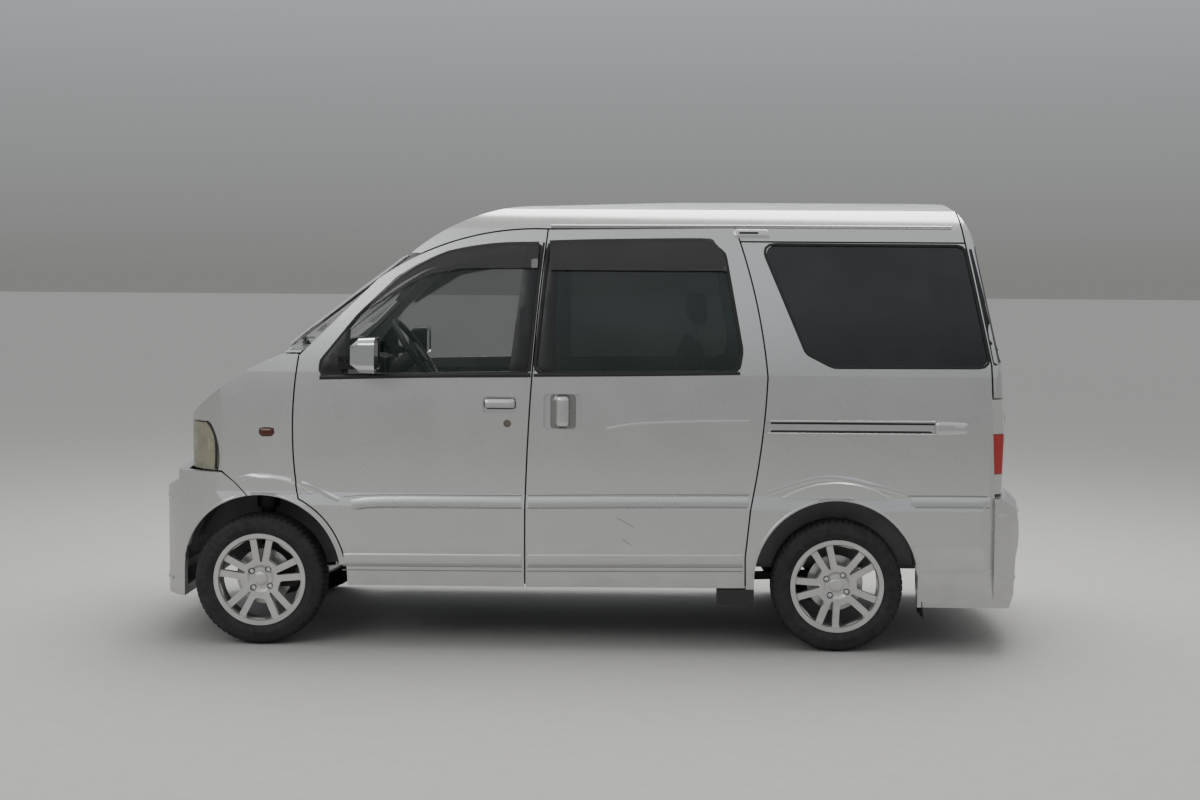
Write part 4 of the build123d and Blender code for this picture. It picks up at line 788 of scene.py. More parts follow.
# Door lock, and the handles with the gaps round them
spot, _ = DOOR.point(B_X - 0.072, 0.950)
lock = [(0.016, -0.001), (0.016, 0.0015), (0.0145, 0.003), (0.011, 0.003), (0.0105, 0.002), (0.003, 0.0022)]
lathe("front_lock", lock, placed(spot, (1, 0, 0), (0, 0, 1)), "steel_bare", "door_left", both=True)
flap = rounded(rect(B_X - 0.166, 1.013, B_X - 0.042, 1.050), 0.008)
drape("front_handle_flap", flap, DOOR, "paint", 0.005, edge=0.008, step=0.012)
grip = rounded(rect(B_X + 0.136, 0.942, B_X + 0.180, 1.062), 0.010)
drape("slider_handle_grip", grip, SLIDER, "paint", 0.006, edge=0.009, step=0.012)

# Painted shade: a thin sheet of darker silver over the floor of the sliding door handle's recess
recess_shade = rounded(rect(B_X + 0.106, 0.930, B_X + 0.214, 1.072), 0.016)
drape("slider_handle_recess_shade", recess_shade, SLIDER, "crease", 0.0008, edge=0.014, step=0.012)
for name, ring, surface in (("slider_handle_grip_gap", grip, SLIDER), ("front_handle_gap", flap, DOOR)):
    outline = inset_ring(spaced(ring, 0.006, closed=True), -0.0035)
    bead(name, outline, surface, "trim_dark", 0.0045, 0.0008, True)

# Slide rail: its end cap, dark grooves and painted lips
rail_cap = rounded([(1.4425, 0.917), (1.5745, 0.9245), (1.5745, 0.970), (1.4425, 0.974)], 0.014)
drape("slide_rail_cap", rail_cap, QUARTER, "paint", 0.006, edge=0.010, step=0.015)
for name, z in (("top", 0.9600), ("low", 0.9290)):
    groove = [(C_X + 0.018, z), (1.438, z + 0.001)]
    bead(f"slide_rail_{name}_groove", groove, QUARTER, "trim_dark", 0.013, 0.0016)
for name, rail_lip in (
    ("top", ((C_X + 0.012, 0.9695), (1.440, 0.9735))),
    ("low", ((C_X + 0.004, 0.9195), (1.440, 0.9200))),
):
    bead(f"slide_rail_{name}_lip", rail_lip, QUARTER, "paint", 0.007, 0.0035)

# Roof: drip moulding above a painted shade line of darker silver, upper rail's end cap with its slot
DRIPS = (
    # name, height at its front end, look, height of the bead
    ("drip_shade_line", 1.7665, "crease", 0.0018),
    ("drip_moulding", 1.7745, "paint", 0.0040),
)
for name, z, material, rise in DRIPS:
    drip = [(B_X + 0.10, z), (C_X - 0.02, z + 0.0035), (SEAM_X - 0.160, z + 0.0035)]
    bead(name, curve_through(drip), ROOF, material, 0.008, rise)
cap = rounded([(0.6065, 1.7265), (0.7560, 1.7265), (0.7460, 1.7630), (0.5965, 1.7630)], 0.006)
drape("upper_rail_cap", cap, ROOF, "paint", 0.005, edge=0.006, step=0.012)
slot_line = [(0.625, 1.7475), (0.705, 1.7475)]
bead("upper_rail_slot", slot_line, ROOF, "trim_dark", 0.010, 0.0012, lift=0.005)

# Pressed lines along the side, and the edge of the arch flares
LINES = (
    # name, points in side view, surface, width, height
    ("door_shoulder_band", ((-0.985, 0.606), (-0.84, 0.619), (B_X - 0.012, 0.6215)), DOOR, 0.046, 0.0042),
    ("door_low_band", ((-1.020, 0.374), (B_X - 0.012, 0.3765)), DOOR, 0.052, 0.0038),
    ("slider_shoulder_band", ((B_X + 0.018, 0.6225), (0.2, 0.629), (0.670, 0.633)), SLIDER, 0.046, 0.0042),
    ("slider_low_band", ((B_X + 0.018, 0.3775), (0.650, 0.387)), SLIDER, 0.052, 0.0038),
    (
        "slider_rail_crease",
        ((0.0775, 0.932), (0.1400, 0.944), (0.2035, 0.953), (0.3945, 0.964), (0.6735, 0.970)),
        SLIDER,
        0.010,
        0.0020,
    ),
    ("quarter_shoulder_band", ((1.345, 0.640), (1.50, 0.641), (1.668, 0.641)), QUARTER, 0.040, 0.0040),
    ("quarter_low_line", ((1.4, 0.350), (1.55, 0.352), (1.6805, 0.354)), QUARTER, 0.014, 0.0026),
    (
        "fender_flare_line", ((-1.4525, 0.706), (-1.3905, 0.719), (-1.2895, 0.714), (-1.2400, 0.703)), FENDER,
        0.026, 0.0038,
    ),
    (
        "door_flare_line", ((-1.1980, 0.690), (-1.1665, 0.679), (-1.1005, 0.650), (-1.0385, 0.624)), DOOR,
        0.026, 0.0038,
    ),
    (
        "quarter_flare_line",
        (
            (0.7515, 0.665), (0.8405, 0.697), (0.9665, 0.731), (1.0935, 0.728), (1.2205, 0.696),
            (1.3215, 0.668),
        ),
        QUARTER,
        0.028,
        0.0044,
    ),
)
for name, points, surface, width, rise in LINES:
    bead(name, curve_through(points), surface, "paint", width, rise)
# Painted shade: thin lines of darker silver along the pressed bands, standing for the shade in their creases
SHADES = (
    # name, points in side view, surface
    ("door_shoulder_shade", ((-1.020, 0.638), (-0.84, 0.6465), (B_X - 0.008, 0.649)), DOOR),
    ("door_band_shade", ((-0.965, 0.585), (-0.84, 0.5935), (B_X - 0.008, 0.596)), DOOR),
    ("door_low_shade", ((-1.024, 0.345), (B_X - 0.008, 0.3475)), DOOR),
    ("door_sill_shade", ((-1.026, 0.327), (B_X - 0.008, 0.3295)), DOOR),
    ("slider_shoulder_shade", ((B_X + 0.014, 0.650), (0.2, 0.6565), (0.674, 0.661)), SLIDER),
    ("slider_band_shade", ((B_X + 0.014, 0.597), (0.2, 0.6035), (0.668, 0.608)), SLIDER),
    ("slider_low_shade", ((B_X + 0.014, 0.3485), (0.652, 0.358)), SLIDER),
    ("slider_sill_shade", ((B_X + 0.014, 0.3305), (0.650, 0.340)), SLIDER),
    ("quarter_shoulder_shade", ((1.330, 0.664), (1.50, 0.665), (1.672, 0.665)), QUARTER),
    ("quarter_band_shade", ((1.360, 0.617), (1.50, 0.618), (1.672, 0.618)), QUARTER),
)
for name, points, surface in SHADES:
    bead(name, curve_through(points), surface, "crease", 0.0055, 0.0008)


def arch_lip(name, centre, start, end, surface):
    """The rolled lip round a wheel arch between two angles, from the rear horizon over the top."""
    radius = ARCH_R + 0.006
    arc = [math.radians(start + (end - start) * i / 40) for i in range(41)]
    line = [(centre + radius * math.cos(angle), ARCH_Z + radius * math.sin(angle)) for angle in arc]
    bead(name, line, surface, "paint", 0.010, 0.0035)


arch_lip("fender_arch_lip", ARCH_FRONT_X, 12, 96, FENDER)
arch_lip("bumper_arch_lip", ARCH_FRONT_X, 107, 168, BUMPER_SIDE)
arch_lip("quarter_arch_lip", ARCH_REAR_X, 2, 177, QUARTER)

# Side marker
marker = rounded(rect(-1.3735, 0.889, -1.3115, 0.923), 0.012)
drape("side_marker", marker, FENDER, "lamp_amber", 0.006, edge=0.009, step=0.01)
bead("side_marker_seal", marker, FENDER, "rubber", 0.005, 0.0022, True)


# The tailgate's black surround, seen from the side
tail_film = [
    (SEAM_X + 0.006, BELT_Z + 0.050), (SEAM_X - 0.092, 1.688), (SEAM_X - 0.080, 1.690),
    (SEAM_X + 0.036, BELT_Z + 0.050)
]
drape("tailgate_side_film", rounded(tail_film, 0.004), TAIL_SIDE, "trim_dark", 0.0016, edge=0.003, step=0.02)


# Black borders on the glass beside the pillar between the doors
DOOR_GLASS = Surface("side", "front_door_glass_left")
SLIDER_GLASS = Surface("side", "sliding_door_glass")
border = [
    (-0.329, BELT_Z + 0.008), (-0.266, upper(0.722)), (B_X + 0.058, upper(0.724)),
    (B_X + 0.012, BELT_Z + 0.011)
]
drape("front_glass_border", rounded(border, 0.003), DOOR_GLASS, "trim_dark", 0.0010, edge=0.002)
border = [
    (B_X + 0.047, BELT_Z + 0.010), (B_X + 0.098, upper(0.732)), (-0.133, upper(0.733)),
    (-0.140, BELT_Z + 0.010)
]
drape("slider_glass_border", rounded(border, 0.003), SLIDER_GLASS, "trim_dark", 0.0010, edge=0.002)

# Wheels: centre cap, lug nuts and valve on each
WHEELS = (
    # name, x, side, lug angle, body
    ("front_left", FRONT_X, -1, 51, "wheel_front_left"),
    ("front_right", FRONT_X, 1, 40, "wheel_front_right"),
    ("rear_left", REAR_X, -1, 58, "wheel_rear_left"),
    ("rear_right", REAR_X, 1, 20, "wheel_rear_right"),
)


# Distances from a wheel's middle
LUG_CIRCLE_R = 0.050
VALVE_R = 0.172


def hub_matrix(x, side):
    """A wheel's own frame: X and Y across the wheel, Z out of it."""
    return placed((x, side * WHEEL_Y, TYRE_R), (-side, 0, 0), (0, 0, 1))


def tyre_mesh(name, matrix, body, replaced):
    """A road tyre: rounded sidewalls with raised rings, a tread of blocks cut by grooves."""
    section = [(0.1955, -0.066), (0.2010, -0.0705), (0.2100, -0.0755), (0.2200, -0.0795), (0.2230, -0.0808)]
    section += [(0.2260, -0.0808), (0.2290, -0.0800), (0.2440, -0.0795), (0.2560, -0.0765), (0.2640, -0.0720)]
    ribs = (-0.0600, -0.0440, -0.0380, -0.0170, -0.0110, 0.0110, 0.0170, 0.0380, 0.0440, 0.0600)
    crown = []
    for low, high, groove in zip(ribs, ribs[1:], (0, 1, 0, 1, 0, 1, 0, 1, 0)):
        crown += [(low, groove), (high, groove)]
    points = [(radius, y, 0) for radius, y in section]
    for y, groove in crown:
        points.append((0.2765 - 0.9 * y * y, y, 2 if groove else 1))
    points += [(radius, -y, 0) for radius, y in reversed(section)]
    blocks, cuts = 64, (0.0, 0.06, 0.80, 0.86)
    verts, faces = [], []
    count = len(points)
    for block in range(blocks):
        for step, cut in enumerate(cuts):
            for radius, y, kind in points:
                outer_rib = abs(y) > 0.037
                slanted = cut + y * (6.0 if outer_rib else -4.5)
                angle = 2 * math.pi * (block + slanted) / blocks
                deep = 0.0060 if kind == 2 else (0.0045 if kind == 1 and step in (0, 3) and outer_rib else 0)
                if kind == 1 and step in (0, 3) and not outer_rib:
                    deep = 0.0022
                reach = radius - deep
                verts.append(matrix @ Vector((reach * math.cos(angle), reach * math.sin(angle), y)))
    rings = blocks * len(cuts)
    for ring in range(rings):
        a, b = ring * count, (ring + 1) % rings * count
        for i in range(count - 1):
            faces.append((a + i, b + i, b + i + 1, a + i + 1))
        faces.append((a + count - 1, b + count - 1, b, a))
    made = piece(name, verts, faces, "tyre", body)
    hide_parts(replaced)


for name, x, side, lug_angle, body in WHEELS:
    hub = hub_matrix(x, side)
    at = hub @ Matrix.Translation((0, 0, 0.0375))
    cap = [
        (0.029, -0.002), (0.0295, 0.003), (0.028, 0.0065), (0.024, 0.0085), (0.012, 0.0095), (0.003, 0.0098)
    ]
    lathe(f"hub_cap_{name}", cap, at, "alloy", body, turns=48)
    for i in range(4):
        angle = math.radians(lug_angle + 90 * i)
        spot = Matrix.Translation((LUG_CIRCLE_R * math.cos(angle), LUG_CIRCLE_R * math.sin(angle), 0.0155))
        nut = [
            (0.0125, -0.001), (0.0125, 0.002), (0.0100, 0.003), (0.0100, 0.017), (0.0085, 0.020),
            (0.003, 0.0215)
        ]
        lathe(f"lug_nut_{name}_{i}", nut, hub @ spot, "chrome_trim", body, turns=6)
    angle = math.radians(lug_angle + 30)
    spot = Matrix.Translation((VALVE_R * math.cos(angle), VALVE_R * math.sin(angle), 0.030))
    valve = [
        (0.0045, -0.004), (0.0045, 0.004), (0.0032, 0.010), (0.0035, 0.012), (0.0035, 0.026), (0.002, 0.027)
    ]
    lathe(f"valve_{name}", valve, hub @ spot, "rubber", body, turns=16)
    tyre_mesh(f"road_tyre_{name}", hub, body, f"tyre_{name}")

# Headlamps: bowls with bulbs inside the lens, and a black seal
for side, name in ((-1, "left"), (1, "right")):
    for y, z, size in ((0.555, 0.848, 0.052), (0.655, 0.838, 0.036)):
        spot, _ = Surface("front", "headlamps", reach=3.4).point(side * y, z)
        at = placed(spot + Vector((0.012 + 0.2 * abs(y - 0.5), 0, 0)), (0, 1, 0), (0, 0, -1))
        bowl = [
            (size, 0.0), (size * 0.99, 0.001), (size * 0.8, -0.012), (size * 0.5, -0.021), (0.010, -0.026)
        ]
        bowl += [(0.0085, -0.026), (0.0085, -0.012), (0.006, -0.009), (0.002, -0.008)]
        lathe(f"lamp_bowl_{name}_{round(1000 * y)}", bowl, at, "chrome_trim", "body", turns=40)
seal = [
    (-1.5595, 0.746), (-1.5565, 0.80), (-1.5585, 0.85), (-1.5680, 0.895), (-1.5860, 0.930), (-1.6040, 0.943)
]
bead("headlamp_seal", curve_through(seal), FENDER, "rubber", 0.010, 0.0028)

# Nose: dark mesh behind the grille's slots, and a bright strip above them
GRILLE = Surface("front", "grille", reach=3.4)
strip = [(-0.40, 0.916), (0.0, 0.918), (0.40, 0.916)]
bead("grille_strip", curve_through(strip), GRILLE, "chrome_trim", 0.012, 0.004)
for row, z in enumerate((0.7895, 0.8335, 0.8775)):
    for low, high in ((-0.36, -0.012), (0.012, 0.36)):
        mesh = rect(low, z - 0.009, high, z + 0.009)
        drape(
            f"grille_mesh_{row}_{'a' if low < 0 else 'b'}", rounded(mesh, 0.004), GRILLE, "trim_dark", 0.0016,
            -0.012, edge=0.003,
        )

# Bumpers: two pressed lines round each
BUMPER_FRONT = Surface("front", "front_bumper", reach=3.2)
for name, z, width, rise in (
    ("bumper_upper_line", 0.610, 0.010, 0.003), ("bumper_low_line", 0.262, 0.016, 0.005)
):
    line = [(-0.60, z), (-0.3, z), (0.0, z), (0.3, z), (0.60, z)]
    bead(name, line, BUMPER_FRONT, "bumper_paint", width, rise)
BUMPER_REAR = Surface("rear", "rear_bumper", reach=3.2)
for name, z, width, rise in (
    ("rear_upper_line", 0.585, 0.010, 0.003), ("rear_low_line", 0.300, 0.014, 0.004)
):
    line = [(-0.58, z), (-0.3, z), (0.0, z), (0.3, z), (0.58, z)]
    bead(name, line, BUMPER_REAR, "bumper_paint", width, rise)
REAR_SIDE = Surface("side", "rear_bumper")
for name, z, width, rise in (("rear_upper_end", 0.585, 0.010, 0.003), ("rear_low_end", 0.300, 0.014, 0.004)):
    bead(name, [(1.702, z), (1.725, z), (1.748, z)], REAR_SIDE, "bumper_paint", width, rise)


# Mud flaps behind the rear wheels
def mud_flap(name, x, low, high, near, far):
    """A hanging rubber sheet, a little curved."""
    verts, faces = [], []
    steps, rows = 10, 8
    for side in (0.0, 0.004):
        for row in range(rows + 1):
            for step in range(steps + 1):
                y = near + (far - near) * step / steps
                t = row / rows
                bend = 0.012 * t * t + 0.003 * math.sin(step * 1.3)
                verts.append(Vector((x + side + bend, y, high + (low - high) * t)))
    wide, layer = steps + 1, (steps + 1) * (rows + 1)
    for row in range(rows):
        for step in range(steps):
            a = row * wide + step
            faces.append((a, a + 1, a + wide + 1, a + wide))
            faces.append((layer + a, layer + a + wide, layer + a + wide + 1, layer + a + 1))
    rim = list(range(wide)) + [row * wide + steps for row in range(1, rows + 1)]
    rim += [rows * wide + steps - i for i in range(1, wide)] + [row * wide for row in range(rows - 1, 0, -1)]
    for a, b in zip(rim, rim[1:] + rim[:1]):
        faces.append((a, layer + a, layer + b, b))
    piece(name, verts, faces, "rubber", "body", both=True)


mud_flap("mud_flap", ARCH_REAR_X + ARCH_R + 0.012, 0.150, 0.330, -0.735, -0.570)


# Wipers on the windscreen, with the helpers that the rear one uses too
def rod(name, line, radius, material, body):
    """A round bar through points."""
    line = spaced([Vector(p) for p in line], 0.02)
    sides, verts = 10, []
    for i, spot in enumerate(line):
        way = (line[min(i + 1, len(line) - 1)] - line[max(i - 1, 0)]).normalized()
        across = way.orthogonal().normalized()
        other = way.cross(across)
        for k in range(sides):
            angle = 2 * math.pi * k / sides
            verts.append(spot + (across * math.cos(angle) + other * math.sin(angle)) * radius)
    faces = ring_faces(sides, len(line))
    faces.append(tuple(reversed(range(sides))))
    faces.append(tuple(range((len(line) - 1) * sides, len(line) * sides)))
    return piece(name, verts, faces, material, body)


def lifted(surface, spots, rise):
    """Places held at a height over a surface."""
    line = []
    for a, b in spots:
        spot, normal = surface.point(a, b)
        line.append(spot + normal * rise)
    return line


def pivot_at(surface, y, z):
    """The frame of a wiper's pivot, square to a surface."""
    spot, normal = surface.point(y, z)
    return placed(spot, (0, 1, 0), normal.cross(Vector((0, 1, 0))))


BLADE_RISE = 0.0062
WIPERS = (
    # name, pivot (y, z), blade's two ends (y, z)
    ("wiper_driver", (0.46, 1.252), (0.10, 1.292), (0.64, 1.268)),
    ("wiper_passenger", (-0.08, 1.252), (-0.56, 1.286), (-0.02, 1.272)),
)
for name, pivot, start, end in WIPERS:
    middle = ((start[0] + end[0]) / 2, (start[1] + end[1]) / 2)
    arm = []
    for t in (0.0, 0.25, 0.5, 0.75, 1.0):
        y, z = (pivot[i] + (middle[i] - pivot[i]) * t for i in (0, 1))
        spot, normal = SCREEN.point(y, z)
        arm.append(spot + normal * (0.014 + 0.006 * math.sin(math.pi * t)))
    rod(f"{name}_arm", arm, 0.0042, "trim_dark", "body")
    blade = [[start[i] + (end[i] - start[i]) * t / 8 for i in (0, 1)] for t in range(9)]
    rod(f"{name}_blade", lifted(SCREEN, blade, BLADE_RISE), 0.0052, "rubber", "body")
    pivot_cap = [(0.016, -0.012), (0.016, 0.010), (0.012, 0.017), (0.003, 0.019)]
    lathe(f"{name}_pivot", pivot_cap, pivot_at(SCREEN, *pivot), "trim_dark", "body")

# Tailgate: window seal, side films, wiper, garnish, edge of the plate recess, and handle
REAR = Surface("rear", "tailgate", "tailgate_glass", reach=3.2)
GATE = Surface("rear", "tailgate", reach=3.2)
rear_ring = [(-0.640, upper(0.087)), (0.640, upper(0.087)), (0.590, HEIGHT - 0.206), (-0.590, HEIGHT - 0.206)]
rear_ring = inset_ring(spaced(rounded(rear_ring, 0.045), 0.012, closed=True), -0.006)
bead("rear_window_rubber", rear_ring, GATE, "rubber", 0.014, 0.0028, True)
for side, name in ((-1, "left"), (1, "right")):
    film = [
        (side * 0.652, upper(0.087)), (side * 0.692, upper(0.075)), (side * 0.640, HEIGHT - 0.212),
        (side * 0.604, HEIGHT - 0.212)
    ]
    drape(f"tailgate_film_{name}", rounded(film, 0.004), GATE, "trim_dark", 0.0016, edge=0.003, step=0.025)
arm = lifted(REAR, ((0.0, upper(0.055)), (-0.12, upper(0.12)), (-0.26, upper(0.17))), 0.013)
rod("rear_wiper_arm", curve_through(arm), 0.0042, "trim_dark", "tailgate")
blade = [(-0.42 + 0.04 * i, upper(0.135) + 0.008 * i) for i in range(9)]
rod("rear_wiper_blade", lifted(REAR, blade, BLADE_RISE), 0.0050, "rubber", "tailgate")
pivot_cap = [(0.020, -0.006), (0.020, 0.010), (0.015, 0.018), (0.003, 0.020)]
lathe("rear_wiper_pivot", pivot_cap, pivot_at(REAR, 0.0, upper(0.055)), "trim_dark", "tailgate")
garnish = rounded(rect(-0.34, 0.925, 0.34, 0.985), 0.014)
drape("tailgate_garnish", garnish, GATE, "paint", 0.012, edge=0.014, step=0.02)
recess = rounded(rect(-0.26, 0.745, 0.26, 0.905), 0.016)
bead("plate_recess_edge", recess, GATE, "paint", 0.014, 0.0035, True)
handle = rounded(rect(-0.075, 0.895, 0.075, 0.922), 0.008)
drape("tailgate_handle", handle, GATE, "trim_dark", 0.007, edge=0.008, step=0.012)

# Fuel flap on the right rear panel, traced on the left one and mirrored
flap = spaced(rounded(rect(0.800, 0.770, 0.940, 0.905), 0.022), 0.01, closed=True)
flap_gap = lifted(Surface("side", "quarter_panels"), [tuple(p) for p in flap], 0.0002)
flap_gap = [Vector((p.x, -p.y, p.z)) for p in flap_gap]
rod("fuel_flap_gap", flap_gap + flap_gap[:1], 0.0022, "rubber", "body")

# Dents on the tailgate's edge and scratches on the sliding door
for i, (x, z) in enumerate(((1.692, 1.125), (1.6885, 1.095))):
    spot, normal = TAIL_SIDE.point(x, z)
    ring = [(x + 0.009 * math.cos(a), z + 0.006 * math.sin(a)) for a in (k * math.pi / 8 for k in range(16))]
    bead(f"edge_dent_{i}", ring, TAIL_SIDE, "paint", 0.004, 0.0012, True, both=False)
SCRATCHES = (
    # x, z of a scratch's two ends
    ((0.118, 0.640), (0.176, 0.602)),
    ((0.128, 0.560), (0.198, 0.522)),
    ((0.150, 0.470), (0.188, 0.444)),
)
for i, (start, end) in enumerate(SCRATCHES):
    bead(f"door_scratch_{i}", [start, end], SLIDER, "dash_grey", 0.0022, 0.0003, both=False)


# Dark egg-crate behind the bumper's intake, on a black plate that is painted shade for the inside of the
# intake
INTAKE_X, INTAKE_Z = -1.832, 0.330
shade_plate = rounded(rect(-0.385, -0.062, 0.385, 0.062), 0.02)
plate(
    "intake_shade_plate", shade_plate, 0.003, placed((INTAKE_X, 0, INTAKE_Z), (0, 1, 0), (0, 0, 1)), "trim_dark",
    "body",
)
for row in (-1, 1):
    bar = [(INTAKE_X - 0.010, y, INTAKE_Z + 0.020 * row) for y in (-0.36, 0.36)]
    rod(f"intake_bar_{'low' if row < 0 else 'high'}", bar, 0.004, "trim_dark", "body")
for k in range(-6, 7):
    post = [(INTAKE_X - 0.010, 0.055 * k, INTAKE_Z + z) for z in (-0.05, 0.05)]
    rod(f"intake_post_{k + 6:02d}", post, 0.003, "trim_dark", "body")


# Painted pillars beside the windscreen, with the black band inside them
class Slope:
    """The windscreen's own plane, carried on past the glass's edge."""

    lean = 1.275  # how far it runs back for each metre up
    way = Vector((1, 0, 0))
    normal = Vector((-1, 0, lean)).normalized()
    body, sided = "body", False

    def point(self, y, z):
        return Vector((-1.0775 + self.lean * (z - 1.4), y, z)), self.normal


SCREEN_BAND = ((0.650, 1.262), (0.622, 1.262), (0.576, 1.45), (0.545, 1.645), (0.572, 1.645), (0.604, 1.45))
for side, hand in ((-1, "left"), (1, "right")):
    outer = ((0.722, 1.262), (0.718, 1.36), (0.686, 1.50), (0.640, 1.60), (0.634, 1.645))
    inner = ((0.570, 1.645), (0.602, 1.45), (0.648, 1.262))
    pillar = [(side * y, z) for y, z in outer + inner]
    drape(f"screen_pillar_{hand}", rounded(pillar, 0.006), Slope(), "paint", 0.010, edge=0.014, step=0.025)
    band = [(side * y, z) for y, z in SCREEN_BAND]
    drape(f"screen_band_{hand}", rounded(band, 0.003), Slope(), "trim_dark", 0.0036, edge=0.002, step=0.025)


# Interior: door cards, side linings, headliner and carpet
DOOR_IN = Surface("inside", "front_door_left")
SLIDER_IN = Surface("inside", "sliding_doors")
card = [(-1.165, 1.112), (-1.165, 0.74), (-1.075, 0.62), (-0.985, 0.46), (-0.325, 0.46), (-0.318, 1.112)]
drape("door_card", rounded(card, 0.03), DOOR_IN, "dash_grey", 0.006, edge=0.008, step=0.05)
rest = rounded(rect(-0.90, 0.80, -0.52, 0.865), 0.028)
drape("door_armrest", rest, DOOR_IN, "dash_grey", 0.034, edge=0.030, step=0.02)
bead(
    "door_pocket_edge", curve_through([(-0.95, 0.60), (-0.75, 0.585), (-0.50, 0.60)]), DOOR_IN, "dash_grey",
    0.03, 0.02,
)
card = [(-0.205, 1.112), (-0.215, 0.36), (0.62, 0.36), (0.68, 0.80), (0.69, 1.112)]
drape("slider_card", rounded(card, 0.03), SLIDER_IN, "dash_grey", 0.005, edge=0.008, step=0.05)
ROOF_IN = Surface("up", "roof", "body_frame", reach=1.2)
lining = rounded(rect(-0.62, -0.50, 1.46, 0.50), 0.08)
drape("headliner", lining, ROOF_IN, "headliner", 0.004, edge=0.02, step=0.06)
FLOOR_TOP = Surface("top", "floor_pan", reach=3.9)
carpet = rounded(rect(-0.98, -0.55, 0.62, 0.55), 0.05)
drape("front_carpet", carpet, FLOOR_TOP, "carpet", 0.006, edge=0.01, step=0.04)
carpet = rounded(rect(1.28, -0.50, 1.66, 0.50), 0.05)
drape("load_carpet", carpet, FLOOR_TOP, "carpet", 0.006, edge=0.01, step=0.04)


# Seats: padded cushions, backs and head rests on painted frames, in place of the CAD's plain solids
def block(name, low, high, radius, material, body):
    """A box with rounded edges."""
    shape = bmesh.new()
    size = [b - a for a, b in zip(low, high)]
    middle = Vector([(a + b) / 2 for a, b in zip(low, high)])
    bmesh.ops.create_cube(shape, size=1, matrix=Matrix.Translation(middle) @ Matrix.Diagonal((*size, 1)))
    bmesh.ops.bevel(shape, geom=shape.edges[:], offset=radius, segments=3, profile=0.5, affect="EDGES")
    verts = [v.co.copy() for v in shape.verts]
    index = {v: i for i, v in enumerate(shape.verts)}
    faces = [tuple(index[v] for v in face.verts) for face in shape.faces]
    shape.free()
    return piece(name, verts, faces, material, body)


PADS = []
SWELL_FRAMES = 20
SHRUNK = 0.9  # share of its cap by which a pad starts smaller
PAD_CAP = 0.014
REST_CAP = 0.008
REST_VOXEL = 0.012
CHANNEL_DEPTH = 0.008
CHANNEL_WIDTH = 0.011
CHANNEL_SPACING = 0.155


def pad(name, outline, low_y, high_y, cap, voxel, channels=(), face_way=(0, 0, 1)):
    """A stuffed piece from a side outline; it swells by up to the cap when it is simulated."""
    inset = cap * SHRUNK
    ring = inset_ring([Vector(p) for p in outline], inset)
    count = len(ring)
    verts = [Vector((p.x, y, p.y)) for y in (low_y + inset, high_y - inset) for p in ring]
    faces = [tuple(range(count)), tuple(reversed(range(count, 2 * count)))]
    faces += [(i, count + i, count + (i + 1) % count, (i + 1) % count) for i in range(count)]
    made = piece(name, verts, faces, "seat_cloth", "body")
    shape = bmesh.new()
    shape.from_mesh(made.data)
    bmesh.ops.recalc_face_normals(shape, faces=shape.faces[:])
    shape.to_mesh(made.data)
    shape.free()
    made.data.remesh_voxel_size = voxel
    with bpy.context.temp_override(object=made, active_object=made, selected_objects=[made]):
        bpy.ops.object.voxel_remesh()
    PADS.append((made, cap, channels, Vector(face_way).normalized()))
    return made


def swell_pads():
    """Blows every pad up with Blender's cloth, holds it within its cap, and sews the channels in."""
    starts = {}
    for made, _, _, _ in PADS:
        starts[made.name] = [v.co.copy() for v in made.data.vertices]
        cloth = made.modifiers.new("swell", "CLOTH")
        cloth.settings.use_pressure = True
        cloth.settings.uniform_pressure_force = 4.0
        cloth.settings.effector_weights.gravity = 0.0
        cloth.settings.quality = 4
        cloth.settings.tension_stiffness = 12
        cloth.settings.bending_stiffness = 0.6
        cloth.point_cache.frame_start = 1
        cloth.point_cache.frame_end = SWELL_FRAMES
    for frame_number in range(1, SWELL_FRAMES + 1):
        bpy.context.scene.frame_set(frame_number)
    graph = bpy.context.evaluated_depsgraph_get()
    for made, cap, channels, face_way in PADS:
        start = starts[made.name]
        shaped = [v.co.copy() for v in made.evaluated_get(graph).data.vertices]
        made.modifiers.clear()
        for vertex, was, now in zip(made.data.vertices, start, shaped):
            move = now - was
            vertex.co = was + (move.normalized() * cap if move.length > cap else move)
        split = made.modifiers.new("smooth", "SUBSURF")
        split.levels = split.render_levels = 1
        graph = bpy.context.evaluated_depsgraph_get()
        smooth = bpy.data.meshes.new_from_object(made.evaluated_get(graph))
        made.modifiers.clear()
        made.data = smooth
        made.data.shade_smooth()
        normals = [v.normal.copy() for v in made.data.vertices]
        for vertex, normal in zip(made.data.vertices, normals):
            facing = normal.dot(face_way)
            if facing < 0.2 or not channels:
                continue
            near = max(math.exp(-(((vertex.co[axis] - at) / CHANNEL_WIDTH) ** 2)) for axis, at in channels)
            vertex.co -= normal * (CHANNEL_DEPTH * near * min(1.0, facing * 1.5))
    bpy.context.scene.frame_set(1)


SEAT_Z = 0.700


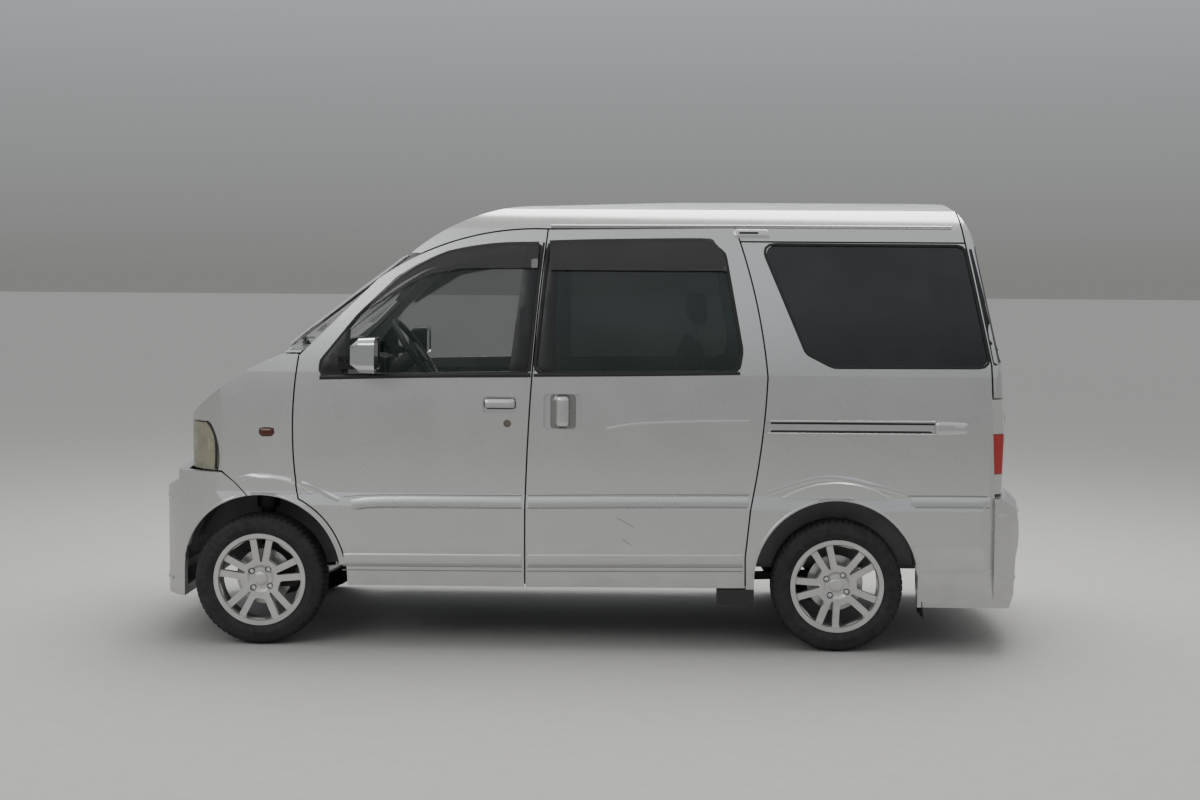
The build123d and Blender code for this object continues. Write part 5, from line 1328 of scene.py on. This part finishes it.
def seat(name, x, y, half, rests, voxel, node, base_half):
    """One seat or bench: x is its cushion's rear end, rests are the head rests' places across it."""
    low_y, high_y = y - half + 0.004, y + half - 0.004
    cushion = rounded(
        [
            (x - 0.468, SEAT_Z - 0.114, 0.03),
            (x - 0.480, SEAT_Z - 0.014, 0.04),
            (x - 0.400, SEAT_Z + 0.006, 0.06),
            (x - 0.075, SEAT_Z - 0.022, 0.03),
            (x - 0.020, SEAT_Z - 0.114, 0.03),
        ],
        0.03,
    )
    back = rounded(
        [
            (x - 0.052, SEAT_Z - 0.090, 0.03),
            (x - 0.060, SEAT_Z + 0.020, 0.04),
            (x + 0.094, SEAT_Z + 0.614, 0.035),
            (x + 0.172, SEAT_Z + 0.614, 0.035),
            (x + 0.182, SEAT_Z + 0.540, 0.06),
            (x + 0.034, SEAT_Z - 0.090, 0.04),
        ],
        0.03,
    )
    columns = [
        y + k * CHANNEL_SPACING
        for k in range(-5, 6)
        if k % 2 and abs(k * CHANNEL_SPACING) < half - 0.06
    ]
    channels = [(1, column) for column in columns]
    made = pad(f"{name}_cushion", cushion, low_y, high_y, PAD_CAP, voxel, channels + [(0, x - 0.17)])
    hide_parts(node)
    channels += [(2, SEAT_Z + 0.44)]
    pad(f"{name}_back", back, low_y, high_y, PAD_CAP, voxel, channels, (-1, 0, 0.25))
    for i, rest in enumerate(rests):
        middle_x, middle_z = x + 0.148, SEAT_Z + 0.725
        head = [
            (middle_x + dx, middle_z + dz)
            for dx, dz in ((-0.040, -0.073), (0.040, -0.073), (0.040, 0.073), (-0.040, 0.073))
        ]
        head = rounded(head, 0.028)
        pad(f"{name}_rest_{i}", head, y + rest - 0.122, y + rest + 0.122, REST_CAP, REST_VOXEL)
        for k in (-0.045, 0.045):
            line = [(x + 0.136, y + rest + k, SEAT_Z + 0.585), (x + 0.141, y + rest + k, SEAT_Z + 0.665)]
            rod(f"{name}_post_{i}_{'a' if k < 0 else 'b'}", line, 0.0055, "chrome_trim", "body")
    block(
        f"{name}_box", (x - 0.298, y - base_half, 0.402), (x - 0.082, y + base_half, SEAT_Z - 0.119), 0.012,
        "steel_black", "body",
    )
    recliner = [(0.030, -0.008), (0.034, 0.0), (0.034, 0.010), (0.026, 0.015), (0.003, 0.016)]
    for side in (-1, 1):
        at = placed((x - 0.030, y + side * (half - 0.016), SEAT_Z - 0.078), (-side, 0, 0), (0, 0, 1))
        lathe(f"{name}_recliner_{'left' if side < 0 else 'right'}", recliner, at, "dash_grey", "body")


FIRST_X = FRONT_X + 1.010
THIRD_X = REAR_X + 0.040
SECOND_X = (FIRST_X + THIRD_X) / 2 - 0.040
SEATS = (
    # name, cushion's rear end, middle, half width, head rests, voxel, CAD node, half the box's width
    ("driver_seat", FIRST_X, 0.365, 0.250, (0,), 0.013, "front_seats", 0.060),
    ("passenger_seat", FIRST_X, -0.365, 0.250, (0,), 0.013, "front_seats", 0.060),
    ("second_seat", SECOND_X, 0.0, 0.590, (-0.300, 0.300), 0.017, "second_bench", 0.450),
    ("third_seat", THIRD_X, 0.0, 0.510, (-0.260, 0.260), 0.017, "third_bench", 0.400),
)
for row in SEATS:
    seat(*row)
swell_pads()


# Stage: pale floor, soft light
floor_material = plain_material("stage_floor", (0.44, 0.43, 0.41), 0.8, 0.0, 40, 0.0006, 0.06)
bpy.ops.mesh.primitive_plane_add(size=240, location=(0, 0, 0))
stage_floor = bpy.context.object
stage_floor.name = "stage_floor"
stage_floor.data.materials.append(floor_material)

world = bpy.data.worlds.new("studio")
bpy.context.scene.world = world
world.use_nodes = True
sky = world.node_tree
background = sky.nodes["Background"]
sky_place = sky.nodes.new("ShaderNodeTexCoord")
sky_split = sky.nodes.new("ShaderNodeSeparateXYZ")
sky.links.new(sky_place.outputs["Generated"], sky_split.inputs[0])
sky_ramp = sky.nodes.new("ShaderNodeValToRGB")
sky.links.new(sky_split.outputs["Z"], sky_ramp.inputs["Fac"])
SKY = (
    (0.0, (0.30, 0.30, 0.29)), (0.10, (0.44, 0.45, 0.46)), (0.30, (0.84, 0.90, 0.97)), (0.8, (1.0, 1.0, 1.0))
)
sky_stops = sky_ramp.color_ramp.elements
while len(sky_stops) < len(SKY):
    sky_stops.new(0.5)
for stop, (height, tone) in zip(sky_stops, SKY):
    stop.position = height
    stop.color = rgb(*tone)
sky.links.new(sky_ramp.outputs["Color"], background.inputs["Color"])
background.inputs["Strength"].default_value = 0.75


def soft_light(name, place, aim, width, depth, power):
    data = bpy.data.lights.new(name, "AREA")
    data.shape = "RECTANGLE"
    data.size = width
    data.size_y = depth
    data.energy = power
    lamp = bpy.data.objects.new(name, data)
    lamp.location = place
    lamp.rotation_mode = "QUATERNION"
    lamp.rotation_quaternion = (Vector(aim) - Vector(place)).to_track_quat("-Z", "Y")
    bpy.context.scene.collection.objects.link(lamp)


soft_light("top_light", (0.6, 1.4, 5.4), (0, 0, 0.8), 6.0, 4.5, 460)
soft_light("side_light", (-4.2, -6.5, 4.6), (0, 0, 0.9), 5.0, 2.4, 110)
